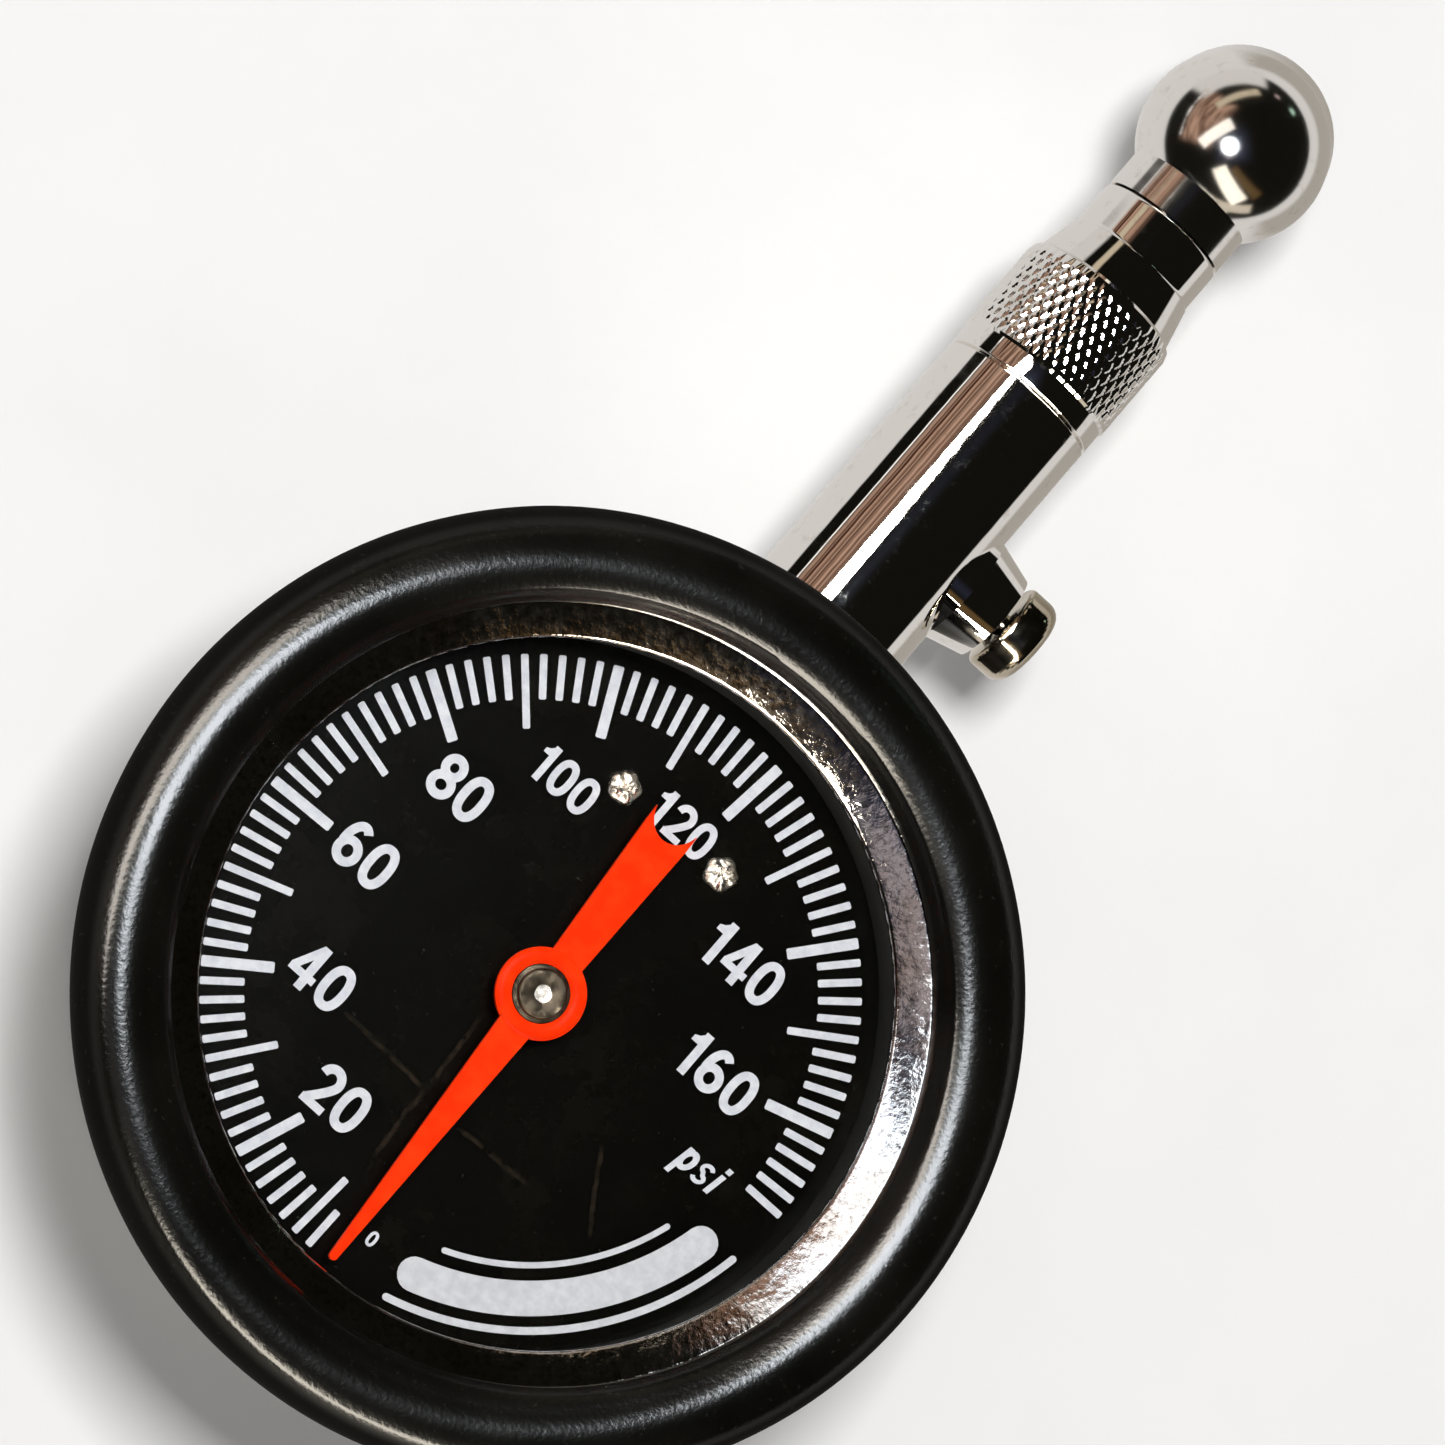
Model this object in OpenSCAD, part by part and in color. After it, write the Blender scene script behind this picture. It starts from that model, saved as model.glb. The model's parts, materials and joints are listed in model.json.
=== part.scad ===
// Dial tyre pressure gauge with a rubber boot, a knurled swivel and a ball chuck.
// The gauge lies on its back: +Z out of the dial, +Y along the stem, millimetres.
// The origin is the centre of the boot's flat back.

/* [Boot] */
// Radius of the centre line of the bumper ring round the bezel
ring_r = 28.15; // [28:0.05:29]
// Radius of the bumper ring's round section
ring_t = 3.3; // [3:0.1:3.4]
// Height of the bumper ring's centre line above the back
ring_z = 24.7; // [24.5:0.1:25]
// Radius of the boot's wall at the back
boot_back_r = 27; // [26.5:0.1:28]
// Thickness of rubber behind the case
boot_back_t = 2.5; // [2:0.1:2.5]

/* [Case] */
// Outer radius of the case
case_r = 25; // [25:0.1:25.2]
// Thickness of the case's wall
case_wall = 0.8; // [0.6:0.1:0.9]
// Inner radius of the bezel's lip
lip_r = 23; // [22.6:0.1:23.2]
// Thickness of the lens
lens_t = 1.3; // [1:0.1:1.3]
// Height of the dial's face above the back
dial_z = 19; // [18.9:0.1:19.2]

/* [Stem] */
// Height of the stem's axis above the back
stem_z = 11.4; // [11.2:0.1:11.6]
// Diameter of the stem's tube
tube_d = 11.4; // [11:0.1:12]
// Distance from the dial's centre to the end of the tube
tube_end = 52.3; // [52.3:0.1:56]
// Length of the collar
collar_len = 14.9; // [14.9:0.1:16]
// Diameter over the knurling
knurl_d = 11.7; // [11.6:0.1:12.4]
// Diameter of the collar's nose
nose_d = 9.3; // [9:0.1:9.8]

/* [Chuck] */
// Diameter of the ball
ball_d = 13; // [12.8:0.1:13.4]
// Outer diameter of the chuck's mouth
mouth_d = 12.6; // [12.4:0.1:12.8]
// Distance from the ball's centre to the face of the mouth
mouth_reach = 6.2; // [6.2:0.1:7]
// Diameter of the bore that goes over the tyre valve
valve_bore_d = 8.2; // [8:0.05:8.6]
// Lean of the mouth from square to the stem, towards the free end
mouth_lean = 20; // [0:1:30]
// Turn of the chuck about the stem as stored
swivel_rest = 10; // [0:1:90]

/* [Bleeder] */
// Distance from the dial's centre to the bleeder's axis
bleeder_y = 40.3; // [39:0.1:41]
// Diameter of the button's cap
cap_d = 6.4; // [6:0.1:7]
// Travel of the button
bleeder_travel = 0.5; // [0.3:0.1:0.5]

/* [Movement] */
// Radius of the curved pressure tube's centre line
bourdon_r = 19.5; // [19.3:0.1:19.6]
// Turn of the pointer from rest to full scale
pointer_sweep = 272; // [260:1:272]

/* [Hidden] */
$fn = 96;
eps = 0.01;
run = 0.05;                         // radial clearance of a shaft that turns in a hole

// Case, from the back to the front
case_in_r = case_r - case_wall;
case_floor = 1;
floor_z = boot_back_t + case_floor; // inside face of the case's floor
dial_t = 0.5;
gasket_top = dial_z + 3.6;
lens_top = gasket_top + lens_t;
skirt_r = case_r + 0.6;             // outer radius of the bezel's skirt
skirt_z = 18.5;
lip_t = 0.45;
crest_z = 25.2;                     // highest point of the bezel
crest_r = 0.3;
boot_hook = 0.35;                   // how far the boot's lip reaches in over the bezel
boot_fit = 0.03;
chrome = [0.80, 0.79, 0.78];
brass = [0.80, 0.66, 0.36];
steel = [0.66, 0.66, 0.68];
black = [0.06, 0.06, 0.06];

// Movement, from the back to the front
plate_t = 1;
back_plate_z = 5;
post_z = back_plate_z + plate_t;    // top of the back plate
front_plate_z = 15.2;
front_plate_t = 0.8;
front_top = front_plate_z + front_plate_t;
gear_z = 9.6;
gear_t = 0.8;
link_z = gear_z + gear_t + 0.3;
link_t = 0.6;
arm_z = 12.2;                       // arm on the end of the pressure tube
arm_t = 0.8;

// Pointer. It rests with its tip just past straight down, on the +X side.
pointer_z = dial_z + 2.1;
pointer_t = 0.4;
rest_a = -87.7;
tip_r = 22;
tip_w = 0.6;
tip_root_w = 2.4;
tail_r = 13.2;
tail_root_w = 2.4;
tail_end_w = 3.4;
hub_r = 3.05;
hub_top = dial_z + 3.2;
bush_r = 2;
boss_hub_r = 1.65;

// Gears
pinion_teeth = 10;
gear_ratio = 9;                     // turns of the pointer for one turn of the sector
sector_pivot = [-10.9, -3.8];
centres = norm(sector_pivot);
pinion_r = centres / (gear_ratio + 1);
sector_r = centres - pinion_r;
tooth_m = 2 * pinion_r / pinion_teeth;
sector_full = pinion_teeth * gear_ratio;
sector_pitch = 360 / sector_full;
mesh_a = atan2(-sector_pivot[1], -sector_pivot[0]); // from the pivot to the pinion
sector_turn = pointer_sweep / gear_ratio;
teeth_after = ceil(sector_turn / sector_pitch) + 1;
teeth_before = 1;
sector_low = mesh_a - (teeth_after + 0.6) * sector_pitch;
sector_high = mesh_a + (teeth_before + 0.6) * sector_pitch;

// The tail of the sector, the link and the end of the pressure tube. The tube's end moves
// along the chord of the arc that the tail's pin draws, and the link stays parallel.
tail_len = 5;
tail_a = 156.5;
link_len = 7.2;
chord_a = tail_a + sector_turn / 2 + 90;
tail_at = sector_pivot + tail_len * [cos(tail_a), sin(tail_a)];
tip_at = tail_at - link_len * [cos(chord_a), sin(chord_a)];
pin_r = 0.5;
loose = 0.3;                        // clearance at the open pivot of the linkage
bourdon_from = 160;
bourdon_sweep = 278;
bourdon_h = 6;
bourdon_t = 1.7;
bourdon_wall = 0.3;

pillar_at = [[-11, -9.5], [4.5, -5.5]];
stop_at_r = 7;
stop_a = sector_low - asin((pin_r + 0.04) / stop_at_r);
stop_at = sector_pivot + stop_at_r * [cos(stop_a), sin(stop_a)];
stud_at = [0, 5.2];
dial_screw_at = [[-4.27, 14.1], [4.27, 14.1]];
case_screw_at = [[-4.5, 20.5], [4.5, 20.5]];
screw_head_r = 1.8;
screw_r = 0.9;
screw_len = 5.2;
front_screw_at = [[0, 12.9], [0, 21.8]];
back_screw_at = [[-4, 14], [4, 14]];
pinion_shaft_r = 0.6;
sector_shaft_r = 0.7;

// Stem, along its own axis
tube_r = tube_d / 2;
tube_start = 25.6;
spigot_r = 3.5;
spigot_end = 32.4;
passage_r = 1.7;
chamber_from = 43;
chamber_r = 2.7;
plug_spigot_r = 3.8;
plug_spigot_from = tube_end - 5.4;
seat_t = 0.6;
poppet_top = plug_spigot_from - seat_t - 0.03;
poppet_t = 0.8;
collar_end = tube_end + collar_len;
collar_bore_r = 4.1;
shoulder = collar_end - 8.6;        // where the wide bore of the collar ends
plug_top = shoulder - 2.6;
journal_r = 3.25;
journal_from = shoulder - 2.1;
journal_bore_r = journal_r + run;
clip_from = shoulder - 0.7;
clip_t = 0.6;
o_ring_y = collar_end - 5;
o_ring_t = 0.42;
knurl_from = tube_end + 1.6;
knurl_to = knurl_from + 7;
cone_to = knurl_to + 3.1;

// Chuck. Heights along the mouth are measured from the ball's centre.
ball_r = ball_d / 2;
mouth_r = mouth_d / 2;
ball_y = collar_end + 7.45;
neck_from = collar_end + 0.1;
neck_r = 4.6;
valve_bore_r = valve_bore_d / 2;
seal_top = 2.2;
seal_t = 1.6;
seal_r = 4.5;
guide_top = seal_top - seal_t;
guide_t = 1;
pin_chamber_r = 2.3;
pin_chamber_floor = -3.4;
pin_head_top = guide_top - guide_t - 0.05;
pin_head_t = 0.8;
depressor_r = 0.8;
depressor_tip = seal_top - 0.05;

// Bleeder. Distances along the button are measured from the stem's axis.
boss_r = 4.05;
boss_from = 4;
boss_top = 8.4;
boss_top_r = 3.25;
bleeder_spigot_r = 2.2;
bleeder_spigot_from = 2.25;
button_r = 0.8;
cap_from = boss_top + bleeder_travel + 0.1;
cap_top = cap_from + 2.9;
cap_round = 1.1;
well_r = 2.3;
well_from = 6.7;

// A solid whose own +Z lies along the stem, starting y from the dial's centre
module along_stem(y) {
    translate([0, y, stem_z]) rotate([-90, 0, 0]) children();
}

// A solid whose own +Z points out of the bleeder, from the stem's axis
module along_bleeder(x) {
    translate([x, bleeder_y, stem_z]) rotate([0, 90, 0]) children();
}

// A solid whose own +Z points out of the chuck's mouth, from the ball's centre
module along_mouth(h) {
    translate([0, ball_y, stem_z])
        rotate([0, -swivel_rest, 0])
            rotate([180 + mouth_lean, 0, 0])
                translate([0, 0, h]) children();
}

// A plain shaft, or a hole for one
module rod(r, h) {
    cylinder(r = r, h = h);
}

module tube(r_out, r_in, h) {
    difference() {
        cylinder(r = r_out, h = h);
        translate([0, 0, -eps]) cylinder(r = r_in, h = h + 2 * eps);
    }
}

module o_ring(r, t) {
    rotate_extrude() translate([r, 0]) circle(r = t, $fn = 24);
}

// A round wire wound into a coil of whole turns, standing on z = 0
module coil(r, wire, h, turns) {
    sides = 6;
    steps = turns * 16;
    rise = h - 2 * wire;
    rings = [for (i = [0:steps], j = [0:sides - 1])
        let (a = 360 * turns * i / steps, b = 360 * j / sides, q = r + wire * cos(b))
            [q * cos(a), q * sin(a), wire + rise * i / steps + wire * sin(b)]];
    walls = [for (i = [0:steps - 1], j = [0:sides - 1])
        let (k = (j + 1) % sides)
            [i * sides + j, i * sides + k, (i + 1) * sides + k, (i + 1) * sides + j]];
    start = [[for (j = [0:sides - 1]) sides - 1 - j]];
    finish = [[for (j = [0:sides - 1]) steps * sides + j]];
    polyhedron(points = rings, faces = concat(walls, start, finish), convexity = 8);
}

// A cheese-head screw with its head on z = 0 and its shank below
module cheese_screw(head_r, head_h, shank_r, shank_len) {
    slot_w = head_r * 0.35;
    difference() {
        cylinder(r = head_r, h = head_h);
        translate([-head_r - eps, -slot_w / 2, head_h * 0.5])
            cube([2 * head_r + 2 * eps, slot_w, head_h]);
    }
    translate([0, 0, -shank_len]) rod(shank_r, shank_len + eps);
}

module at(points) {
    for (p = points) translate(p) children();
}

// ---- Boot, case and front ----

module boot_outline() {
    corner = 2.5;
    neck_r_in = 29.2;
    neck_z = 20.5;
    union() {
        hull() {
            translate([boot_back_r - corner, corner]) circle(r = corner, $fn = 32);
            square([boot_back_r - corner, eps]);
            translate([0, neck_z]) square([neck_r_in, eps]);
        }
        hull() {
            translate([0, neck_z - 0.4]) square([neck_r_in, eps]);
            translate([ring_r, ring_z]) circle(r = ring_t, $fn = 64);
            translate([0, ring_z]) square([ring_r, eps]);
        }
    }
}

module rubber_boot() {
    color(black) difference() {
        rotate_extrude($fn = 128) intersection() {
            boot_outline();
            square([60, 60]);
        }
        translate([0, 0, boot_back_t]) rod(case_r, 40);
        translate([0, 0, skirt_z]) rod(skirt_r, crest_z + boot_fit - skirt_z);
        translate([0, 0, skirt_z]) rod(skirt_r - boot_hook, 40);
        along_stem(20) rod(tube_r + 0.1, 20);
    }
}

module case_cup() {
    color(steel) difference() {
        translate([0, 0, boot_back_t]) rod(case_r, gasket_top - boot_back_t);
        translate([0, 0, floor_z]) rod(case_in_r, 40);
        along_stem(20) rod(spigot_r, 10);
        at(case_screw_at) translate([0, 0, boot_back_t]) {
            cylinder(r1 = screw_head_r + eps, r2 = screw_r + eps, h = case_floor);
            translate([0, 0, -eps]) rod(screw_r + eps, case_floor + 2 * eps);
        }
    }
}

module bezel_ring() {
    color(chrome) rotate_extrude($fn = 128) difference() {
        union() {
            hull() {
                translate([skirt_r - crest_r, crest_z - crest_r]) circle(r = crest_r, $fn = 32);
                translate([lip_r + lip_t / 2, lens_top + lip_t / 2]) circle(r = lip_t / 2, $fn = 24);
                translate([skirt_r - 0.5, gasket_top]) square([0.5, 0.5]);
                translate([lip_r + 0.3, lens_top]) square([1, 0.1]);
            }
            translate([case_r, skirt_z]) square([skirt_r - case_r, gasket_top - skirt_z + 0.5]);
        }
        square([case_in_r, lens_top]);
        square([case_r, gasket_top]);
    }
}

module lens() {
    color([0.85, 0.9, 0.92, 0.35]) translate([0, 0, gasket_top])
        rod(case_in_r - 0.05, lens_t);
}

module lens_gasket() {
    color(black) translate([0, 0, dial_z]) tube(case_in_r, lip_r + 0.15, gasket_top - dial_z);
}

module dial_plate() {
    color(black) translate([0, 0, dial_z - dial_t]) difference() {
        rod(case_in_r - 0.1, dial_t);
        translate([0, 0, -eps]) rod(1.7, dial_t + 2 * eps);
        at(dial_screw_at) translate([0, 0, -eps]) rod(0.8, dial_t + 2 * eps);
    }
}

module dial_screws() {
    color(steel) at(dial_screw_at) translate([0, 0, dial_z]) {
        intersection() {
            rod(1.25, 0.6);
            translate([0, 0, -1.2]) sphere(r = 1.8);
        }
        translate([0, 0, -2.4]) rod(0.8, 2.4 + eps);
    }
}

module dial_posts() {
    color(brass) at(dial_screw_at) translate([0, 0, front_top])
        tube(1.4, 0.8, dial_z - dial_t - front_top);
}

// ---- Pressure tube and movement ----

module bourdon_path(hollow) {
    translate([0, 0, stem_z]) rotate([0, 0, bourdon_from])
        rotate_extrude(angle = bourdon_sweep) translate([bourdon_r, 0]) difference() {
            square([bourdon_t, bourdon_h], center = true);
            if (hollow) square([bourdon_t, bourdon_h] - 2 * [bourdon_wall, bourdon_wall], center = true);
        }
}

module bourdon_tube() {
    color(brass) bourdon_path(true);
}

module socket_block() {
    half = 7;
    color(brass) difference() {
        union() {
            intersection() {
                translate([-half, 11.5, post_z]) cube([2 * half, 13, front_plate_z - post_z]);
                rod(case_in_r - 0.1, 30);
            }
            intersection() {
                translate([-half, 17, floor_z]) cube([2 * half, 8, post_z - floor_z + eps]);
                rod(case_in_r - 0.1, 30);
            }
            along_stem(22) rod(spigot_r, spigot_end - 22);
        }
        bourdon_path(false);
        along_stem(bourdon_r) rod(1.2, 20);
        along_stem(bourdon_r) sphere(r = 1.2, $fn = 32);
        at(case_screw_at) translate([0, 0, floor_z - eps]) rod(screw_r, screw_len);
        at(front_screw_at) translate([0, 0, front_plate_z - 1.8]) rod(0.8, 2);
        at(back_screw_at) translate([0, 0, post_z - eps]) rod(0.8, 2.5);
    }
}

module case_screws() {
    color(steel) at(case_screw_at) translate([0, 0, boot_back_t]) {
        cylinder(r1 = screw_head_r, r2 = screw_r, h = case_floor);
        rod(screw_r, screw_len);
    }
}

// Outline shared by the two plates of the movement
module plate_outline(top_y) {
    hull() {
        translate([-5.5, 11.5]) square([11, top_y - 11.5]);
        circle(r = 4);
    }
    hull() {
        circle(r = 4);
        translate(sector_pivot) circle(r = 2.6);
        translate(pillar_at[0]) circle(r = 2);
        translate(pillar_at[1]) circle(r = 2);
    }
}

module movement_back_plate() {
    color(brass) translate([0, 0, back_plate_z]) difference() {
        linear_extrude(plate_t) plate_outline(16.8);
        translate([0, 0, -eps]) {
            rod(pinion_shaft_r + run, 2);
            translate(sector_pivot) rod(sector_shaft_r + run, 2);
            at(back_screw_at) rod(0.8, 2);
        }
    }
}

module movement_front_plate() {
    color(brass) translate([0, 0, front_plate_z]) difference() {
        linear_extrude(front_plate_t) plate_outline(23.3);
        translate([0, 0, -eps]) {
            rod(pinion_shaft_r + run, 2);
            translate(sector_pivot) rod(sector_shaft_r + run, 2);
            at(front_screw_at) rod(0.8, 2);
        }
    }
}

module movement_pillars() {
    color(brass) at(pillar_at) translate([0, 0, post_z]) rod(1.2, front_plate_z - post_z);
}

module plate_screws() {
    color(steel) {
        at(front_screw_at) translate([0, 0, front_top]) cheese_screw(1.4, 0.9, 0.8, 2.4);
        at(back_screw_at) translate([0, 0, back_plate_z]) rotate([180, 0, 0])
            cheese_screw(1.4, 0.9, 0.8, 3);
    }
}

// One tooth that points along +X from the centre, on a pitch circle of radius r
module tooth(r) {
    pitch = PI * tooth_m;
    root = r - 1.2 * tooth_m;
    polygon([[root - 0.05, -0.25 * pitch], [r, -0.17 * pitch], [r + 0.85 * tooth_m, -0.07 * pitch],
             [r + 0.85 * tooth_m, 0.07 * pitch], [r, 0.17 * pitch], [root - 0.05, 0.25 * pitch]]);
}

module sector_gear() {
    root = sector_r - 1.2 * tooth_m;
    low = sector_low;
    high = sector_high;
    color(brass) translate([0, 0, gear_z]) difference() {
        linear_extrude(gear_t) union() {
            translate(sector_pivot) {
                polygon(concat([[0, 0]],
                    [for (i = [0:12]) let (a = low + (high - low) * i / 12)
                        root * [cos(a), sin(a)]]));
                for (k = [-teeth_after:teeth_before]) rotate(mesh_a + k * sector_pitch)
                    tooth(sector_r);
                circle(r = 2);
            }
            hull() {
                translate(sector_pivot) circle(r = 1.6);
                translate(tail_at) circle(r = 1.2);
            }
        }
        translate([0, 0, -eps]) {
            translate(sector_pivot) rod(sector_shaft_r, 2);
            translate(tail_at) rod(pin_r, 2);
        }
    }
}

module sector_arbor() {
    color(steel) translate(sector_pivot) translate([0, 0, back_plate_z + 0.1])
        rod(sector_shaft_r, front_top - back_plate_z - 0.2);
}

module tail_pin() {
    color(steel) translate(tail_at) translate([0, 0, gear_z]) {
        rod(pin_r, link_z + link_t + 0.1 - gear_z);
        translate([0, 0, link_z + link_t + 0.05 - gear_z]) rod(0.9, 0.3);
    }
}

module link_bar() {
    color(brass) translate([0, 0, link_z]) difference() {
        linear_extrude(link_t) hull() {
            translate(tail_at) circle(r = 1.3);
            translate(tip_at) circle(r = 1.5);
        }
        translate(tail_at) translate([0, 0, -eps]) rod(pin_r + run, 2);
        translate(tip_at) translate([0, 0, -eps]) rod(pin_r + loose, 2);
    }
}

module tube_tip() {
    block_a = 10;
    mid_a = bourdon_from - block_a / 2;
    end_gap = 0.1;
    color(brass) difference() {
        union() {
            translate([0, 0, stem_z]) rotate([0, 0, bourdon_from - block_a])
                rotate_extrude(angle = block_a - end_gap) translate([bourdon_r, 0])
                    square([bourdon_t + 0.9, bourdon_h + 0.8], center = true);
            translate([0, 0, arm_z]) linear_extrude(arm_t) hull() {
                translate(bourdon_r * [cos(mid_a), sin(mid_a)]) circle(r = 1.2);
                translate(tip_at) circle(r = 1.2);
            }
        }
        translate(tip_at) translate([0, 0, arm_z - eps]) rod(pin_r, 2);
    }
}

module tip_pin() {
    color(steel) translate(tip_at) translate([0, 0, link_z - 0.4])
        rod(pin_r, arm_z + arm_t - link_z + 0.4);
}

module sector_stop_pin() {
    color(steel) translate(stop_at) translate([0, 0, post_z]) rod(pin_r, 5);
}

module hairspring() {
    turns = 3;
    steps = 24 * turns;
    from_r = 1.45;
    to_r = stud_at[1] - 0.55;
    t = 0.12;
    spiral = function(side) [for (i = [0:steps])
        let (a = 90 + 360 * turns * (i / steps - 1), q = from_r + (to_r - from_r) * i / steps)
            (q + side * t / 2) * [cos(a), sin(a)]];
    inner = spiral(-1);
    color(brass) translate([0, 0, 7]) linear_extrude(0.6)
        polygon(concat(spiral(1), [for (i = [0:steps]) inner[steps - i]]));
}

module hairspring_stud() {
    color(brass) translate(stud_at) translate([0, 0, post_z]) rod(0.45, 2);
}

module hairspring_collet() {
    color(brass) translate([0, 0, 6.9]) tube(1.35, pinion_shaft_r, 0.8);
}

module pinion_arbor() {
    root = pinion_r - 1.2 * tooth_m;
    color(steel) {
        translate([0, 0, back_plate_z + 0.1]) rod(pinion_shaft_r, gear_z - 0.8 - back_plate_z);
        translate([0, 0, gear_z - 0.8]) linear_extrude(2.4) {
            circle(r = root);
            for (k = [0:pinion_teeth - 1])
                rotate(mesh_a + 180 + (k + 0.5) * 360 / pinion_teeth) tooth(pinion_r);
        }
        translate([0, 0, gear_z + 1.6]) rod(pinion_shaft_r, hub_top - gear_z - 1.7);
    }
}

module pointer() {
    color([1, 0.2, 0.04]) translate([0, 0, pointer_z]) linear_extrude(pointer_t) rotate(rest_a)
        difference() {
            union() {
                circle(r = hub_r);
                hull() {
                    translate([0, -tip_root_w / 2]) square([1, tip_root_w]);
                    translate([tip_r - tip_w / 2, 0]) circle(d = tip_w, $fn = 24);
                }
                polygon([[0, tail_root_w / 2], [-tail_r, tail_end_w / 2],
                         [-tail_r, -tail_end_w / 2], [0, -tail_root_w / 2]]);
            }
            circle(r = bush_r);
        }
}

module pointer_bush() {
    below = 0.5;
    flange_t = 0.1;
    color(steel) translate([0, 0, pointer_z - below]) difference() {
        union() {
            rod(bush_r, below + pointer_t + flange_t);
            rod(boss_hub_r, below + hub_top - pointer_z);
        }
        translate([0, 0, -eps]) rod(pinion_shaft_r, 5);
    }
}

// ---- Stem, check valve and bleeder ----

module stem_washer() {
    color([0.45, 0.2, 0.14]) along_stem(tube_start - 0.5) tube(5.2, spigot_r, 0.5);
}

module stem_tube() {
    bevel = 0.25;
    color(chrome) difference() {
        along_stem(tube_start) rotate_extrude() polygon([
            [0, 0], [tube_r, 0], [tube_r, tube_end - tube_start - bevel],
            [tube_r - bevel, tube_end - tube_start], [0, tube_end - tube_start]]);
        along_stem(tube_start - eps) rod(spigot_r, spigot_end - tube_start + 0.2);
        along_stem(spigot_end) rod(passage_r, 20);
        along_stem(chamber_from) rod(chamber_r, 20);
        along_stem(plug_spigot_from) rod(plug_spigot_r, 20);
        along_bleeder(boss_from) rod(boss_r, 10);
        along_bleeder(0) rod(bleeder_spigot_r, 10);
    }
}

module check_seat() {
    color(black) along_stem(plug_spigot_from - seat_t) tube(chamber_r, 1.2, seat_t);
}

module check_poppet() {
    color(brass) {
        along_stem(poppet_top - poppet_t) rod(2.4, poppet_t);
        along_stem(poppet_top - poppet_t - 1.3) rod(0.6, 1.3 + eps);
    }
}

module poppet_spring() {
    color(steel) along_stem(chamber_from) coil(2.1, 0.18, poppet_top - poppet_t - chamber_from, 4);
}

module bleeder_seat() {
    color(chrome) difference() {
        union() {
            along_bleeder(bleeder_spigot_from) rod(bleeder_spigot_r, 3);
            along_bleeder(boss_from) rod(boss_r, 1.5);
            along_bleeder(boss_from + 1.5)
                cylinder(r1 = boss_r, r2 = boss_top_r, h = boss_top - boss_from - 1.5);
        }
        along_bleeder(0) rod(button_r + 0.08, 12);
        along_bleeder(well_from) rod(well_r, 12);
    }
}

module bleeder_button() {
    cap_r = cap_d / 2;
    color(chrome) {
        along_bleeder(0.9) rod(1.5, 0.6);
        along_bleeder(0.9) rod(button_r, cap_from - 0.9 + eps);
        along_bleeder(cap_from) rotate_extrude() intersection() {
            hull() {
                square([cap_r - 0.4, 0.1]);
                translate([cap_r - cap_round, cap_top - cap_from - cap_round - 0.2])
                    circle(r = cap_round, $fn = 48);
                translate([cap_r - 0.4, 0.4]) circle(r = 0.4, $fn = 24);
                square([0.6, cap_top - cap_from]);
            }
            square([20, 20]);
        }
    }
}

module bleeder_o_ring() {
    color(black) along_bleeder(1.86) o_ring(1.17, 0.35);
}

module bleeder_spring() {
    color(steel) along_bleeder(well_from) coil(1.7, 0.2, cap_from - well_from, 4);
}

// ---- Swivel and chuck ----

module swivel_plug() {
    color(brass) difference() {
        union() {
            along_stem(plug_spigot_from) rod(plug_spigot_r, tube_end - plug_spigot_from + eps);
            along_stem(tube_end) rod(collar_bore_r, plug_top - tube_end);
        }
        along_stem(plug_spigot_from - eps) rod(1.2, 20);
    }
}

module knurled_collar() {
    bevel = 0.25;
    nose_r = nose_d / 2;
    from_end = function(y) y - tube_end;
    color(chrome) difference() {
        along_stem(tube_end) rotate_extrude() polygon([
            [0, 0], [tube_r - bevel, 0], [tube_r, bevel], [tube_r, from_end(knurl_from)],
            [knurl_d / 2, from_end(knurl_from) + 0.2], [knurl_d / 2, from_end(knurl_to) - 0.2],
            [tube_r - 0.1, from_end(knurl_to)], [nose_r, from_end(cone_to)],
            [nose_r, from_end(collar_end) - bevel], [nose_r - bevel, from_end(collar_end)],
            [0, from_end(collar_end)]]);
        along_stem(tube_end - eps) rod(collar_bore_r, shoulder - tube_end + eps);
        along_stem(tube_end) rod(journal_bore_r, 20);
    }
}

module swivel_o_ring() {
    color(black) along_stem(o_ring_y) o_ring(journal_bore_r - o_ring_t - 0.02, o_ring_t);
}

module swivel_clip() {
    color(steel) along_stem(clip_from) tube(3.95, 2.7, clip_t);
}

module chuck_body() {
    groove = 2 * o_ring_t + 0.06;
    edge = 0.4;
    color(chrome) difference() {
        union() {
            translate([0, ball_y, stem_z]) sphere(r = ball_r);
            along_mouth(0) rotate_extrude() polygon([
                [0, 0], [mouth_r, 0], [mouth_r, mouth_reach - edge],
                [mouth_r - edge, mouth_reach], [0, mouth_reach]]);
            along_stem(neck_from) rod(neck_r, ball_y - neck_from);
            along_stem(journal_from) rod(journal_r, neck_from - journal_from + eps);
        }
        along_mouth(seal_top) rod(valve_bore_r, 20);
        along_mouth(guide_top) rod(seal_r, seal_t);
        along_mouth(pin_chamber_floor) rod(pin_chamber_r, 10);
        along_stem(journal_from - eps) rod(1.1, ball_y - journal_from);
        along_stem(clip_from - 0.03) tube(journal_r + 1, 2.7, clip_t + 0.06);
        along_stem(o_ring_y - groove / 2)
            tube(journal_r + 1, journal_bore_r - 2 * o_ring_t - 0.04, groove);
    }
}

module chuck_seal() {
    color(black) along_mouth(guide_top) tube(seal_r, 1.9, seal_t);
}

module pin_guide() {
    color(brass) difference() {
        along_mouth(guide_top - guide_t) rod(pin_chamber_r, guide_t);
        along_mouth(guide_top - guide_t - eps) {
            rod(depressor_r + run, 2);
            for (a = [0, 120, 240]) rotate(a) translate([1.55, 0, 0]) rod(0.4, 2);
        }
    }
}

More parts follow.
